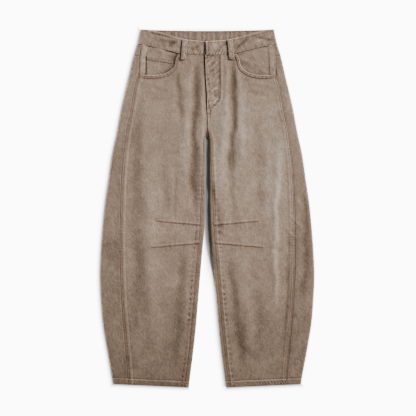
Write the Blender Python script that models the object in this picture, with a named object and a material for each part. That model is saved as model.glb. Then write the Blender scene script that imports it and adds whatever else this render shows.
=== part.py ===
"""Barrel leg trousers in washed denim, laid flat with the front up.

Every piece is a wall of cloth at its real size. Sizes below are in millimetres and become metres
where a mesh is made. A place on the garment is given by its side (-1 is the wearer's right, +1 the
left), by u, the distance out from the centre line, and by v, the distance down from the top of the
back waistband. The trousers lie on z = 0, the waist towards +Y and the hems towards -Y.
"""

import math

import bmesh
import bpy

MM = 0.001
LENGTH = 1018.5
SIDES = {"right": -1, "left": 1}

# Cloth thicknesses and the gap kept between pieces that meet.
DENIM = 1.2
FACING = 1.0
BAND = 2.6
GAP = 0.3
HALF_GAP = GAP / 2

# The outline from waist to hem: how far out the edge of the leg lies, how far the inner edge is
# from the centre line, where the outseam runs on the top face, how far the inseam lies in from the
# inner edge, and how high the top face stands.
OUTLINE_COLUMNS = ("v", "outer", "gap", "outseam", "inseam_in", "height")
OUTLINE = (
    (0.0, 189.5, 6.5, 184.0, 3.2, 6.2),
    (42.0, 198.8, 6.5, 188.0, 3.2, 6.2),
    (75.0, 209.0, 6.5, 193.5, 3.2, 6.2),
    (130.0, 221.7, 6.5, 197.5, 3.2, 6.2),
    (160.0, 229.0, 6.5, 206.0, 3.2, 6.0),
    (224.0, 243.7, 6.5, 217.0, 3.2, 5.8),
    (292.0, 256.5, 6.5, 231.0, 3.2, 5.5),
    (360.0, 270.8, 6.5, 239.0, 3.2, 5.5),
    (429.0, 280.7, 6.5, 244.5, 6.5, 5.6),
    (497.0, 290.7, 6.5, 247.0, 9.5, 5.6),
    (566.0, 297.5, 8.6, 248.5, 10.4, 5.6),
    (634.0, 302.5, 14.3, 248.5, 10.6, 5.7),
    (703.0, 305.0, 20.0, 247.0, 10.6, 5.7),
    (771.0, 302.1, 25.7, 244.0, 10.4, 5.6),
    (839.0, 296.4, 31.4, 239.0, 10.2, 5.6),
    (908.0, 285.0, 38.5, 233.0, 9.8, 5.6),
    (976.0, 273.6, 47.0, 227.0, 9.6, 5.6),
    (1018.5, 266.5, 52.5, 224.0, 9.6, 5.6),
)

# The waistband's top and bottom edge on the front, by distance from the centre line.
WAIST_COLUMNS = ("u", "top", "bottom")
WAIST = (
    (0.0, 34.2, 73.5),
    (54.0, 30.7, 72.6),
    (84.0, 24.8, 69.5),
    (97.0, 21.6, 65.0),
    (121.0, 15.3, 59.2),
    (150.0, 8.0, 52.0),
    (184.0, 0.5, 45.5),
    (198.8, 0.0, 42.5),
)

# The folds that the laid cloth shows. Each runs down a leg through three places and is a trough
# where its rise is below zero.
FOLD_COLUMNS = ("side", "v_top", "v_end", "u_top", "u_middle", "u_end", "half_width", "rise")
FOLDS = (
    (-1, 93, 540, 33, 41, 38, 11, -2.3),
    (-1, 150, 500, 13, 14, 15, 9, 0.7),
    (-1, 100, 450, 64, 66, 68, 14, 0.6),
    (-1, 121, 244, 84, 81, 78, 11, -0.9),
    (-1, 258, 860, 209, 219, 192, 17, -2.0),
    (-1, 343, 913, 144, 166, 135, 26, 0.7),
    (-1, 620, 960, 70, 84, 92, 14, -1.0),
    (1, 115, 435, 67, 71, 56, 11, -2.3),
    (1, 230, 460, 44, 41, 36, 10, 0.7),
    (1, 258, 514, 135, 142, 144, 17, -1.0),
    (1, 286, 814, 209, 194, 198, 13, 0.7),
    (1, 457, 799, 269, 275, 258, 11, -1.6),
    (1, 443, 594, 18, 24, 37, 10, -1.3),
    (1, 643, 975, 58, 79, 101, 14, -1.8),
    (1, 742, 899, 135, 144, 135, 15, -0.9),
)
HIGHEST_FACE = 6.3
LOWEST_FACE = 2 * DENIM + 0.5

# The crotch: the front seam ends first, and the legs part a little lower, at the back's fold.
CROTCH_V = 278.0
PARTING_V = 307.0
FULL_GAP_V = 316.0
CROTCH_GAP = 3.5
CROTCH_DIP = (2.7, 20.0, 30.0)

# The fly's edge lies off the centre line, and its facing raises the front as far as the J stitch.
FLY_TOP_X = -7.5
FLY_END_V = 262.0
FLY_WIDTH = 40.0
FLY_BOTTOM_V = 222.0

# Raised bands: the felled seams, the pocket edge, the hem and the knee darts.
OUTSEAM_BAND = 11.0
INSEAM_BAND = 7.0
POCKET_BAND = 8.5
BAND_STEP = 1.5
SEAM_RISE = 0.6
HEM_DEPTH = 16.5
HEM_RISE = 0.9
HEM_SLOPE = 9.5
DART_RISE = 0.9
# Each dart: its row's nominal place, its place at the inseam and at its point, and its length.
DARTS = ((552.0, 559.0, 546.0, 145.0), (614.0, 607.0, 621.0, 160.0))
DART_REACH = 26.0

# The pocket opening's u and v, from the waistband seam round to the outseam.
POCKET_EDGE = (
    (81.0, 70.3),
    (89.0, 80.0),
    (93.0, 100.0),
    (107.0, 118.0),
    (127.0, 127.5),
    (150.0, 131.0),
)
POCKET_CORNER_V = 130.0
FACING_UNDERLAP = 9.0

ROLL = 5.0
YOKE_SIDE_V = 75.0
YOKE_DROP = 36.0
YOKE_FADE_V = 240.0

# Rows that the front and back panels share along their seams.
UPPER_ROWS = (140.0, 160.0, 180.0, 200.0, 225.0, 250.0)
LOWER_ROWS = (
    (CROTCH_V, 292.0, 300.0, PARTING_V, FULL_GAP_V, 335.0, 362.0, 392.0, 424.0, 456.0, 490.0, 520.0)
    + (546.0, 552.0, 555.0, 583.0, 611.0, 614.0, 620.0, 648.0, 684.0, 720.0, 756.0, 792.0, 828.0)
    + (864.0, 900.0, 936.0, 970.0, LENGTH - HEM_DEPTH - BAND_STEP, LENGTH - HEM_DEPTH, LENGTH)
)

COLOURS = {
    "denim": (0.33, 0.27, 0.22, 1.0),
    "back": (0.28, 0.23, 0.19, 1.0),
    "band": (0.30, 0.24, 0.20, 1.0),
    "facing": (0.24, 0.19, 0.16, 1.0),
}


def smoothstep(value):
    value = min(1.0, max(0.0, value))
    return value * value * (3.0 - 2.0 * value)


def mix(first, second, share):
    return first + (second - first) * share


def read(table, columns, name, at):
    """A smooth value from a table, between its rows, through each row's own number."""
    rows = [(row[0], row[columns.index(name)]) for row in table]
    if at <= rows[0][0]:
        return rows[0][1]
    if at >= rows[-1][0]:
        return rows[-1][1]
    k = max(n for n in range(len(rows) - 1) if rows[n][0] <= at)
    before, start, end = rows[max(k - 1, 0)], rows[k], rows[k + 1]
    after = rows[min(k + 2, len(rows) - 1)]
    span = end[0] - start[0]
    t = (at - start[0]) / span
    slope_start = (end[1] - before[1]) / (end[0] - before[0]) * span
    slope_end = (after[1] - start[1]) / (after[0] - start[0]) * span
    t2, t3 = t * t, t * t * t
    return (
        (2 * t3 - 3 * t2 + 1) * start[1]
        + (t3 - 2 * t2 + t) * slope_start
        + (3 * t2 - 2 * t3) * end[1]
        + (t3 - t2) * slope_end
    )


def outline(name, v):
    return read(OUTLINE, OUTLINE_COLUMNS, name, v)


def waist(name, u):
    """The waistband's edge, straight between the table's rows, so that pieces meet along it."""
    rows = [(row[0], row[WAIST_COLUMNS.index(name)]) for row in WAIST]
    for (u_a, v_a), (u_b, v_b) in zip(rows, rows[1:]):
        if u <= u_b:
            return mix(v_a, v_b, (max(u, 0.0) - u_a) / (u_b - u_a))
    return rows[-1][1]


def inner_edge(v):
    """Half the gap between the legs, which opens at the crotch."""
    if v < FULL_GAP_V:
        opened = smoothstep((v - PARTING_V) / (FULL_GAP_V - PARTING_V))
        return mix(CROTCH_GAP, outline("gap", FULL_GAP_V), opened)
    return outline("gap", v)


def inseam(v):
    """Where the front panel ends on the inner side of the leg, below the crotch."""
    parted = CROTCH_GAP + outline("inseam_in", PARTING_V)
    if v <= PARTING_V:
        return parted * max(0.0, v - CROTCH_V) / (PARTING_V - CROTCH_V)
    return inner_edge(v) + outline("inseam_in", v)


def front_edge(side, v):
    """The front panel's inner edge: the fly, then the crotch seam, then the inseam."""
    fly_x = FLY_TOP_X * (1.0 - smoothstep((v - 60.0) / (FLY_END_V - 60.0)))
    return side * fly_x + inseam(v) + HALF_GAP


def fold_height(side, u, v):
    total = 0.0
    for fold in FOLDS:
        f = dict(zip(FOLD_COLUMNS, fold))
        along = (v - f["v_top"]) / (f["v_end"] - f["v_top"])
        if f["side"] != side or not 0.0 < along < 1.0:
            continue
        bow = f["u_middle"] - (f["u_top"] + f["u_end"]) / 2
        line = mix(f["u_top"], f["u_end"], along) + bow * 4 * along * (1 - along)
        taper = smoothstep(along / 0.25) * smoothstep((1 - along) / 0.25)
        total += f["rise"] * taper * math.exp(-(((u - line) / f["half_width"]) ** 2))
    return total


def face_height(side, u, v):
    """How high the outer face of the front stands at a place, with its folds."""
    depth, across, down = CROTCH_DIP
    dip = depth * math.exp(-((u / across) ** 2) - ((v - CROTCH_V - 10.0) / down) ** 2)
    height = outline("height", v) + fold_height(side, u, v) - dip
    return min(HIGHEST_FACE, max(LOWEST_FACE, height))


def place(side, u, v, z):
    return (side * u * MM, (LENGTH / 2 - v) * MM, z * MM)


def hem_shift(u, v):
    """The hem is a little shorter at the outseam than at the inseam."""
    share = smoothstep((v - 900.0) / (LENGTH - 900.0))
    return -HEM_SLOPE * share * max(0.0, (u - 53.0)) / 214.0


def wall(name, outer, inner, colour):
    """A closed wall between two matching grids of points. A None is a place the cloth doesn't reach."""
    mesh = bpy.data.meshes.new(name)
    bm = bmesh.new()
    layers = []
    for grid in (outer, inner):
        layers.append([[None if p is None else bm.verts.new(p) for p in row] for row in grid])
    rim = {}
    for i in range(len(outer) - 1):
        for j in range(len(outer[i]) - 1):
            corners = ((i, j), (i, j + 1), (i + 1, j + 1), (i + 1, j))
            if any(outer[a][b] is None for a, b in corners):
                continue
            bm.faces.new([layers[0][a][b] for a, b in corners])
            bm.faces.new([layers[1][a][b] for a, b in reversed(corners)])
            for start, end in zip(corners, corners[1:] + corners[:1]):
                if (end, start) in rim:
                    del rim[(end, start)]
                else:
                    rim[(start, end)] = True
    for (a, b), (c, d) in rim:
        bm.faces.new([layers[0][c][d], layers[0][a][b], layers[1][a][b], layers[1][c][d]])
    bmesh.ops.recalc_face_normals(bm, faces=bm.faces)
    bm.to_mesh(mesh)
    bm.free()
    mesh.shade_smooth()
    mesh.materials.append(material(colour))
    piece = bpy.data.objects.new(name, mesh)
    bpy.data.collections["barrel_leg_trousers"].objects.link(piece)
    return piece


def material(colour):
    found = bpy.data.materials.get(colour)
    if found:
        return found
    made = bpy.data.materials.new(colour)
    made.use_nodes = True
    shader = made.node_tree.nodes["Principled BSDF"]
    shader.inputs["Base Color"].default_value = COLOURS[colour]
    shader.inputs["Roughness"].default_value = 0.9
    shader.inputs["Metallic"].default_value = 0.0
    return made


def start_scene():
    for item in list(bpy.data.objects):
        bpy.data.objects.remove(item)
    collection = bpy.data.collections.new("barrel_leg_trousers")
    bpy.context.scene.collection.children.link(collection)


def roll_points(edge, radius, height, angles, outward):
    """Outer and inner points of a rolled edge. outward is +1 at the outer edge, -1 at the inner one."""
    centre = edge - outward * radius
    outer, inner = [], []
    for degrees in angles:
        c, s = math.cos(math.radians(degrees)), math.sin(math.radians(degrees))
        outer.append((centre + outward * radius * c, height / 2 * (1 + s)))
        inner.append((centre + outward * (radius - DENIM) * c, height / 2 + (height / 2 - DENIM) * s))
    return outer, inner


def back_section(side, v, wrapped):
    """The back's cloth at one row, from the outseam round the edge and under to the inner edge."""
    edge = outline("outer", v)
    seam = outline("outseam", v) + HALF_GAP
    turn = edge - ROLL
    height = face_height(side, turn, v)
    outer, inner = [], []
    for share in (0.0, 0.35, 0.7, 1.0):
        u = mix(seam, turn, share)
        z = height if share == 1.0 else face_height(side, u, v)
        outer.append((u, z))
        inner.append((u, z - DENIM))
    rolled = roll_points(edge, ROLL, height, (55, 20, -20, -55), 1)
    outer += rolled[0]
    inner += rolled[1]
    centre = inner_edge(v)
    radius = min(ROLL, max(1.7, 0.5 * (inseam(v) - centre)))
    end = centre + radius if wrapped else HALF_GAP
    for share in (0.0, 0.33, 0.66, 1.0):
        u = mix(turn, end, share)
        outer.append((u, 0.0))
        inner.append((u, DENIM))
    if wrapped:
        height = face_height(side, inseam(v), v)
        rolled = roll_points(centre, radius, height, (-50, 0, 50, 90), -1)
        outer += rolled[0]
        inner += rolled[1]
        u = inseam(v) - HALF_GAP
        outer.append((u, height))
        inner.append((u, height - DENIM))
    return outer, inner


TOP_COLUMNS = 8
FLAT_COLUMNS = 12
ALL_COLUMNS = 17


def back_rows(side, rows, seam_rows):
    """Grids of the back's points. seam_rows holds the rows whose underside follows the yoke's seam."""
    outer_grid, inner_grid = [], []
    for v in rows:
        outer, inner = back_section(side, v, v >= PARTING_V)
        outer_row, inner_row = [], []
        for j in range(ALL_COLUMNS):
            if j >= len(outer):
                outer_row.append(None)
                inner_row.append(None)
                continue
            u, z = outer[j]
            down = v + hem_shift(u, v)
            if v in seam_rows and j >= TOP_COLUMNS:
                across = min(1.0, (j - TOP_COLUMNS) / (FLAT_COLUMNS - 1 - TOP_COLUMNS))
                down += seam_rows[v] * across
            if v < YOKE_SIDE_V - GAP:
                down += waist_shift(u, z, v)
            rise = HEM_RISE if v >= LENGTH - HEM_DEPTH - 0.1 and z > 1.0 and j < TOP_COLUMNS else 0.0
            outer_row.append(place(side, u, down, z + rise))
            inner_row.append(place(side, inner[j][0], down, inner[j][1]))
        outer_grid.append(outer_row)
        inner_grid.append(inner_row)
    return outer_grid, inner_grid


def waist_shift(u, z, v):
    """Brings the top row of a back piece to the slanted lower edge of the waistband."""
    share = 1.0 - (v - 42.0) / (YOKE_SIDE_V - 42.0)
    edge = waist("bottom", u) if z > 3.0 else 42.5
    return share * (edge + GAP - 42.0)


def back_pieces(side, name):
    drop = {v: YOKE_DROP * (v - 42.0) / (YOKE_SIDE_V - 42.0) for v in (42.0, 58.0, YOKE_SIDE_V - HALF_GAP)}
    wall("back_yoke_" + name, *back_rows(side, sorted(drop), drop), "back")
    first = YOKE_SIDE_V + HALF_GAP
    rows = (first, 88.0, 101.0, 118.0, POCKET_CORNER_V) + UPPER_ROWS + LOWER_ROWS
    drop = {v: YOKE_DROP * (1.0 - smoothstep((v - first) / (YOKE_FADE_V - first))) for v in rows}
    wall("back_leg_" + name, *back_rows(side, rows, drop), "back")


FRONT_COLUMNS = 19
INNER_BANDS = (0.0, INSEAM_BAND, INSEAM_BAND + BAND_STEP)
OUTER_BANDS = (OUTSEAM_BAND + BAND_STEP, OUTSEAM_BAND, 0.0)
PLAIN_COLUMNS = FRONT_COLUMNS - len(INNER_BANDS) - len(OUTER_BANDS)


def front_columns(side, v):
    """Where the front's columns lie at a row: its seam bands, and even steps between them."""
    first = front_edge(side, v)
    last = outline("outseam", v) - HALF_GAP
    low, high = first + INNER_BANDS[-1], last - OUTER_BANDS[0]
    between = [mix(low, high, (n + 1) / (PLAIN_COLUMNS + 1)) for n in range(PLAIN_COLUMNS)]
    return [first + b for b in INNER_BANDS] + between + [last - b for b in OUTER_BANDS]


def front_top(side):
    """The front's top edge: along the waistband seam, then round the pocket opening."""
    first = front_edge(side, 73.0)
    seam = [first + b for b in INNER_BANDS] + [27.0, 36.0, 45.0, 54.0, 63.0, 72.0]
    edge = [(u, waist("bottom", u) + GAP) for u in seam]
    edge += [(u, v) for u, v in POCKET_EDGE]
    last = outline("outseam", POCKET_CORNER_V) - HALF_GAP
    edge.append((mix(POCKET_EDGE[-1][0], last, 0.4), POCKET_CORNER_V + 0.5))
    edge += [(last - b, POCKET_CORNER_V) for b in OUTER_BANDS]
    return edge


def inward(edge, j):
    """The direction from the top edge into the panel, straight down at both ends."""
    if j < 9 or j >= FRONT_COLUMNS - 4:
        return 0.0, 1.0
    (u_a, v_a), (u_b, v_b) = edge[j - 1], edge[j + 1]
    length = math.hypot(u_b - u_a, v_b - v_a)
    return -(v_b - v_a) / length, (u_b - u_a) / length


def dart_place(row, u):
    """How far a row moves to follow its dart, and how much the dart raises it there."""
    for nominal, at_inseam, at_point, length in DARTS:
        reach = abs(row - nominal)
        if reach < DART_REACH:
            line = mix(at_inseam, at_point, min(1.0, u / length)) - nominal
            hold = smoothstep((240.0 - u) / 80.0) * (1.0 - smoothstep((reach - 5.0) / (DART_REACH - 5.0)))
            rise = DART_RISE * smoothstep((length - u) / 12.0) if reach < 0.1 else 0.0
            return line * hold, rise
    return 0.0, 0.0


def front_rows(side):
    edge = front_top(side)
    grid = []
    for inset in (0.0, POCKET_BAND, POCKET_BAND + BAND_STEP):
        row = []
        for j, (u, v) in enumerate(edge):
            du, dv = inward(edge, j)
            at = v + dv * inset
            across = u + du * inset
            if j >= FRONT_COLUMNS - len(OUTER_BANDS):
                across = front_columns(side, at)[j]
            if j < len(INNER_BANDS):
                across = front_edge(side, at) + INNER_BANDS[j]
            row.append((across, at, SEAM_RISE if inset <= POCKET_BAND and j >= 9 else 0.0))
        grid.append(row)
    start = grid[-1]
    for nominal in UPPER_ROWS[1:]:
        share = (nominal - UPPER_ROWS[0]) / (UPPER_ROWS[-1] - UPPER_ROWS[0])
        row = []
        for j in range(FRONT_COLUMNS):
            at = mix(start[j][1], UPPER_ROWS[-1], share)
            even = front_columns(side, at)[j]
            offset = start[j][0] - front_columns(side, start[j][1])[j]
            row.append((even + offset * (1.0 - smoothstep(share)), at, 0.0))
        grid.append(row)
    for nominal in LOWER_ROWS:
        row = []
        for j, u in enumerate(front_columns(side, nominal)):
            shift, rise = dart_place(nominal, u)
            u = front_columns(side, nominal + shift)[j]
            row.append((u, nominal + shift + hem_shift(u, nominal), rise))
        grid.append(row)
    return grid


def front_relief(side, u, v, j):
    """What the seams, the fly and the hem add to the outer face."""
    rise = 0.0
    if j >= FRONT_COLUMNS - 2 or (j < 2 and v > CROTCH_V):
        rise = SEAM_RISE
    if side > 0 and j < FRONT_COLUMNS - 4:
        rise = max(rise, smoothstep((FLY_WIDTH + 6.0 - u) / 8.0) * smoothstep((FLY_BOTTOM_V - v) / 25.0))
    if v + HEM_SLOPE * max(0.0, u - 53.0) / 214.0 >= LENGTH - HEM_DEPTH - 0.6:
        rise = max(rise, HEM_RISE)
    return rise


def front_piece(side, name):
    outer, inner = [], []
    for row in front_rows(side):
        outer_row, inner_row = [], []
        for j, (u, v, rise) in enumerate(row):
            z = face_height(side, u, v)
            outer_row.append(place(side, u, v, z + max(rise, front_relief(side, u, v, j))))
            inner_row.append(place(side, u, v, z - DENIM))
        outer.append(outer_row)
        inner.append(inner_row)
    wall("front_leg_" + name, outer, inner, "denim")


def facing_height(side, u, v):
    """The facing's outer face: under the front panel, and level with it along the outseam."""
    drop = DENIM + GAP
    near_seam = smoothstep((outline("outseam", v) - u - 4.0) / 22.0)
    return face_height(side, u, v) - drop * max(near_seam, smoothstep((v - 96.0) / 18.0))


def pocket_edge_v(u):
    """How far down the pocket opening reaches at a distance from the centre line."""
    rows = POCKET_EDGE + ((outline("outseam", POCKET_CORNER_V), POCKET_CORNER_V),)
    for (u_a, v_a), (u_b, v_b) in zip(rows, rows[1:]):
        if u <= u_b:
            return mix(v_a, v_b, (u - u_a) / (u_b - u_a))
    return POCKET_CORNER_V


def facing_piece(side, name):
    """The hip piece seen inside the pocket opening, which runs on a little under the front."""
    columns = (76.0, 84.0, 97.0, 121.0, 150.0, 170.0, 184.0, None)
    rows = ((0.0, 42.0), (0.2, 58.0), (0.4, YOKE_SIDE_V), (0.55, 88.0), (0.7, 101.0), (0.88, 118.0))
    rows += ((1.0, POCKET_CORNER_V - GAP),)
    outer, inner = [], []
    for share, seam_v in rows:
        outer_row, inner_row = [], []
        for column in columns:
            u = (column or 0.0) + share * 4.0
            reach = pocket_edge_v(max(u, 97.0)) + FACING_UNDERLAP
            v = mix(waist("bottom", column or 0.0) + GAP, reach, share)
            if column is None:
                u = outline("outseam", seam_v) - HALF_GAP
                v = seam_v + (waist_shift(u, BAND_HEIGHT, seam_v) if seam_v < YOKE_SIDE_V else 0.0)
            z = facing_height(side, u, v)
            outer_row.append(place(side, u, v, z))
            inner_row.append(place(side, u, v, z - FACING))
        outer.append(outer_row)
        inner.append(inner_row)
    wall("pocket_facing_" + name, outer, inner, "facing")


COIN_COLUMNS = (100.0, 107.0, 127.0, 150.0, 174.0)
COIN_TOP = (87.0, 76.0)
COIN_BAND = 10.0


def coin_pocket(side):
    """A small pocket on the facing, its top edge turned over, its foot hidden by the front."""
    outer, inner = [], []
    for step in (0.0, COIN_BAND, COIN_BAND + BAND_STEP, None):
        outer_row, inner_row = [], []
        for u in COIN_COLUMNS:
            across = (u - COIN_COLUMNS[0]) / (COIN_COLUMNS[-1] - COIN_COLUMNS[0])
            top = mix(COIN_TOP[0], COIN_TOP[1], across)
            v = pocket_edge_v(u) - 4.5 if step is None else top + step
            z = facing_height(side, u, v) + GAP
            rise = SEAM_RISE if step is not None and step <= COIN_BAND else 0.0
            outer_row.append(place(side, u, v, z + FACING + rise))
            inner_row.append(place(side, u, v, z))
        outer.append(outer_row)
        inner.append(inner_row)
    wall("coin_pocket", outer, inner, "denim")


BAND_HEIGHT = 6.6
TAB_HEIGHT = 8.8
UNDER_HEIGHT = 5.7
BAND_ROLL = 5.5
TAB_END_X = -4.5
UNDER_END_X = 14.0


def band_height(side, x):
    """The band stands highest where its tab end lies over the other end."""
    if side > 0:
        return mix(TAB_HEIGHT, BAND_HEIGHT, smoothstep((x - 18.0) / 22.0))
    return mix(BAND_HEIGHT, UNDER_HEIGHT, smoothstep((x + 30.0) / 20.0))


def band_station(side, kind, at, share):
    """One point pair of the band: on its top layer, on its rolled side edge, or underneath."""
    v_side = 42.5 * share
    turn = outline("outer", v_side) - BAND_ROLL
    if kind == "top":
        scale = 1.0 if abs(at) < 60.0 else mix(turn / (outline("outer", 42.5) - BAND_ROLL), 1.0, share)
        u = side * at * mix(1.0, scale, smoothstep((abs(at) - 60.0) / 60.0))
        v = mix(waist("top", abs(at)), waist("bottom", abs(at)), share)
        z = band_height(side, at)
        return (u, v, z), (u, v, z - BAND)
    if kind == "under":
        u = turn * at
        v = mix(3.5 * (1.0 - at * at), 42.5, share)
        return (u, v, 0.0), (u, v, BAND)
    c, s = math.cos(math.radians(at)), math.sin(math.radians(at))
    half = BAND_HEIGHT / 2
    outer = (turn + BAND_ROLL * c, v_side, half + half * s)
    return outer, (turn + (BAND_ROLL - BAND) * c, v_side, half + (half - BAND) * s)


def waistband():
    """One strip all the way round, from the tab end on the left front to the end beneath it."""
    reach = outline("outer", 42.5) - BAND_ROLL
    tops = [22.0, 30.0, 40.0, 54.0, 84.0, 97.0, 121.0, 150.0, 184.0, reach]
    angles = (60, 25, -25, -60)
    ring = [(1, "top", x) for x in [TAB_END_X, 5.0, UNDER_END_X] + tops]
    ring += [(1, "roll", a) for a in angles]
    ring += [(1, "under", share) for share in (1.0, 0.66, 0.33, 0.0)]
    ring += [(-1, "under", share) for share in (0.33, 0.66, 1.0)]
    ring += [(-1, "roll", a) for a in reversed(angles)]
    ring += [(-1, "top", -x) for x in reversed(tops)]
    ring += [(-1, "top", x) for x in (-14.0, -8.0, 2.0, UNDER_END_X)]
    outer, inner = [], []
    for side, kind, at in ring:
        outer_row, inner_row = [], []
        for share in (0.0, 0.35, 0.7, 1.0):
            a, b = band_station(side, kind, at, share)
            if kind == "top":
                a, b = (side * a[0], a[1], a[2]), (side * b[0], b[1], b[2])
                outer_row.append(place(1, *a))
                inner_row.append(place(1, *b))
            else:
                outer_row.append(place(side, *a))
                inner_row.append(place(side, *b))
        outer.append(outer_row)
        inner.append(inner_row)
    wall("waistband", outer, inner, "band")


LOOP_WIDTH = 15.0
LOOP_THICK = 1.6
LOOP_TOP_V = 29.5
LOOP_END_V = 86.0
LOOP_LIFT = 1.4


def belt_loop(side, name):
    """A folded strip over the band, seated at both ends and standing free of it between them."""
    outer, inner = [], []
    rows = (0.0, 0.08, 0.25, 0.5, 0.7, 0.8, 0.87, 1.0)
    for share in rows:
        v = mix(LOOP_TOP_V, LOOP_END_V, share)
        centre = mix(63.0, 69.0, share)
        seat = BAND_HEIGHT + GAP if v < 78.0 else face_height(side, centre, v) + GAP + 0.2
        seat = max(seat, face_height(side, centre, v) + GAP)
        lift = LOOP_LIFT * math.sin(math.pi * share) ** 0.6 if 0.0 < share < 1.0 else 0.0
        outer_row, inner_row = [], []
        for across in (-0.5, 0.0, 0.5):
            u = centre + LOOP_WIDTH * across
            crown = 0.4 if across == 0.0 else 0.0
            outer_row.append(place(side, u, v, seat + lift + LOOP_THICK + crown))
            inner_row.append(place(side, u, v, seat + lift))
        outer.append(outer_row)
        inner.append(inner_row)
    wall("belt_loop_" + name, outer, inner, "band")


def build():
    start_scene()
    for name, side in SIDES.items():
        back_pieces(side, name)
        front_piece(side, name)
        facing_piece(side, name)
        belt_loop(side, name)
    coin_pocket(SIDES["right"])
    waistband()


build()
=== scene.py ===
# %% [markdown]
# # Barrel leg trousers, laid flat
#
# These trousers are sewn from washed taupe denim and lie on a pale surface with the front up. The
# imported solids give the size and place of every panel. This lesson dresses them: each panel becomes
# a thin shell of cloth with its folds, seams, stitches and wash.

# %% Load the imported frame
import math

import bmesh
import bpy
import numpy as np
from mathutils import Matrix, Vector


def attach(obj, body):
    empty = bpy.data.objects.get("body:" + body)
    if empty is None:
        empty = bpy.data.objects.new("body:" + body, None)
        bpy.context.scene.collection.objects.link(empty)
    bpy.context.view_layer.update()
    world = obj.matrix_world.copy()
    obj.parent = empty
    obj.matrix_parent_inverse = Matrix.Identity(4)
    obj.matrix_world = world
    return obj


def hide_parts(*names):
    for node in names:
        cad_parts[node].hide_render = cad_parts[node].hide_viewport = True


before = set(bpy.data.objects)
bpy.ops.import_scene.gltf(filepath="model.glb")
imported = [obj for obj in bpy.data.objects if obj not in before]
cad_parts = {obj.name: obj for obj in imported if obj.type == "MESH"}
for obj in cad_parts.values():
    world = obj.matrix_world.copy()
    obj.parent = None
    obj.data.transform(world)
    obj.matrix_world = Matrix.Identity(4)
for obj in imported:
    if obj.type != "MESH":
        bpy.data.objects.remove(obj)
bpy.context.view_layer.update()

# %% [markdown]
# ## The garment's sizes
#
# A place on the garment is x, measured from the centre line towards the wearer's left, or u, its
# distance from that line, and v, the distance down from the top of the back waistband. Everything
# here is in millimetres until a mesh is made. The tables repeat the sizes that the solids have.

# %% Named sizes and tables
MM = 0.001
LENGTH = 1018.5
DENIM = 1.2
BAND = 2.6
GAP = 0.3
BAND_FOOT_V = 42.5
BAND_INSIDE_U = 184.0
YOKE_TOP_V = 42.0
YOKE_FOOT_V = 75.0
YOKE_DROP = 36.0
HEM_ROWS_V = 1000.0
SIDES = {"right": -1, "left": 1}

OUTLINE_COLUMNS = ("v", "outer", "gap", "outseam", "inseam_in", "height")
OUTLINE = (
    (0.0, 189.5, 6.5, 184.0, 3.2, 8.0),
    (42.0, 198.8, 6.5, 188.0, 3.2, 8.2),
    (75.0, 209.0, 6.5, 193.5, 3.2, 8.6),
    (130.0, 221.7, 6.5, 197.5, 3.2, 9.0),
    (160.0, 229.0, 6.5, 206.0, 3.2, 9.0),
    (224.0, 243.7, 6.5, 217.0, 3.2, 8.8),
    (292.0, 256.5, 6.5, 231.0, 3.2, 8.6),
    (360.0, 270.8, 6.5, 239.0, 3.2, 8.6),
    (429.0, 280.7, 6.5, 244.5, 6.5, 8.8),
    (497.0, 290.7, 6.5, 247.0, 9.5, 9.0),
    (566.0, 297.5, 8.6, 248.5, 10.4, 9.2),
    (634.0, 302.5, 14.3, 248.5, 10.6, 9.2),
    (703.0, 305.0, 20.0, 247.0, 10.6, 9.0),
    (771.0, 302.1, 25.7, 244.0, 10.4, 8.8),
    (839.0, 296.4, 31.4, 239.0, 10.2, 8.6),
    (908.0, 285.0, 38.5, 233.0, 9.8, 8.4),
    (976.0, 273.6, 47.0, 227.0, 9.6, 8.0),
    (LENGTH, 266.5, 52.5, 224.0, 9.6, 7.4),
)
WAIST_U = (0.0, 54.0, 84.0, 97.0, 121.0, 150.0, 184.0, 198.8)
WAIST_TOP = (34.2, 30.7, 24.8, 21.6, 15.3, 8.0, 0.5, 0.0)
WAIST_BOTTOM = (73.5, 72.6, 69.5, 65.0, 59.2, 52.0, 45.5, 42.5)
POCKET_U = (81.0, 84.0, 89.0, 91.5, 93.0, 98.0, 107.0, 116.0, 127.0, 138.0, 150.0, 172.0, 197.3)
POCKET_V = (70.3, 73.0, 80.0, 89.0, 100.0, 110.5, 118.0, 123.5, 127.5, 130.0, 131.3, 131.0, 130.0)
CROTCH_V = 278.0
PARTING_V = 307.0
FULL_GAP_V = 316.0
CROTCH_GAP = 3.5


def smooth_column(name):
    """A table column as a smooth curve, sampled every half millimetre down the garment."""
    at = np.array([row[0] for row in OUTLINE])
    value = np.array([row[OUTLINE_COLUMNS.index(name)] for row in OUTLINE])
    slope = np.gradient(value, at)
    down = np.arange(0.0, LENGTH + 0.5, 0.5)
    k = np.clip(np.searchsorted(at, down, side="right") - 1, 0, len(at) - 2)
    span = at[k + 1] - at[k]
    t = np.clip((down - at[k]) / span, 0.0, 1.0)
    curve = (2 * t**3 - 3 * t**2 + 1) * value[k] + (t**3 - 2 * t**2 + t) * slope[k] * span
    return down, curve + (3 * t**2 - 2 * t**3) * value[k + 1] + (t**3 - t**2) * slope[k + 1] * span


CURVES = {name: smooth_column(name) for name in OUTLINE_COLUMNS[1:]}


def outline(name, v):
    return np.interp(v, *CURVES[name])


def smoothstep(value):
    """0 up to 0, 1 from 1 on, and a smooth step between them."""
    value = np.clip(value, 0.0, 1.0)
    return value * value * (3.0 - 2.0 * value)


def mix(first, second, share):
    """The first value at a share of 0 and the second at 1."""
    return first + (second - first) * share


def hump(value, middle, width):
    """A soft peak of height 1 where the value is at its middle."""
    return np.exp(-(((value - middle) / width) ** 2))


def seam_line(value, middle, spread):
    """A thin soft line of height 1, for seams. The spread is its width squared."""
    return np.exp(-((value - middle) ** 2) / spread)


def band_top(u):
    return np.interp(u, WAIST_U, WAIST_TOP)


def band_bottom(u):
    return np.interp(u, WAIST_U, WAIST_BOTTOM)


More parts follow.
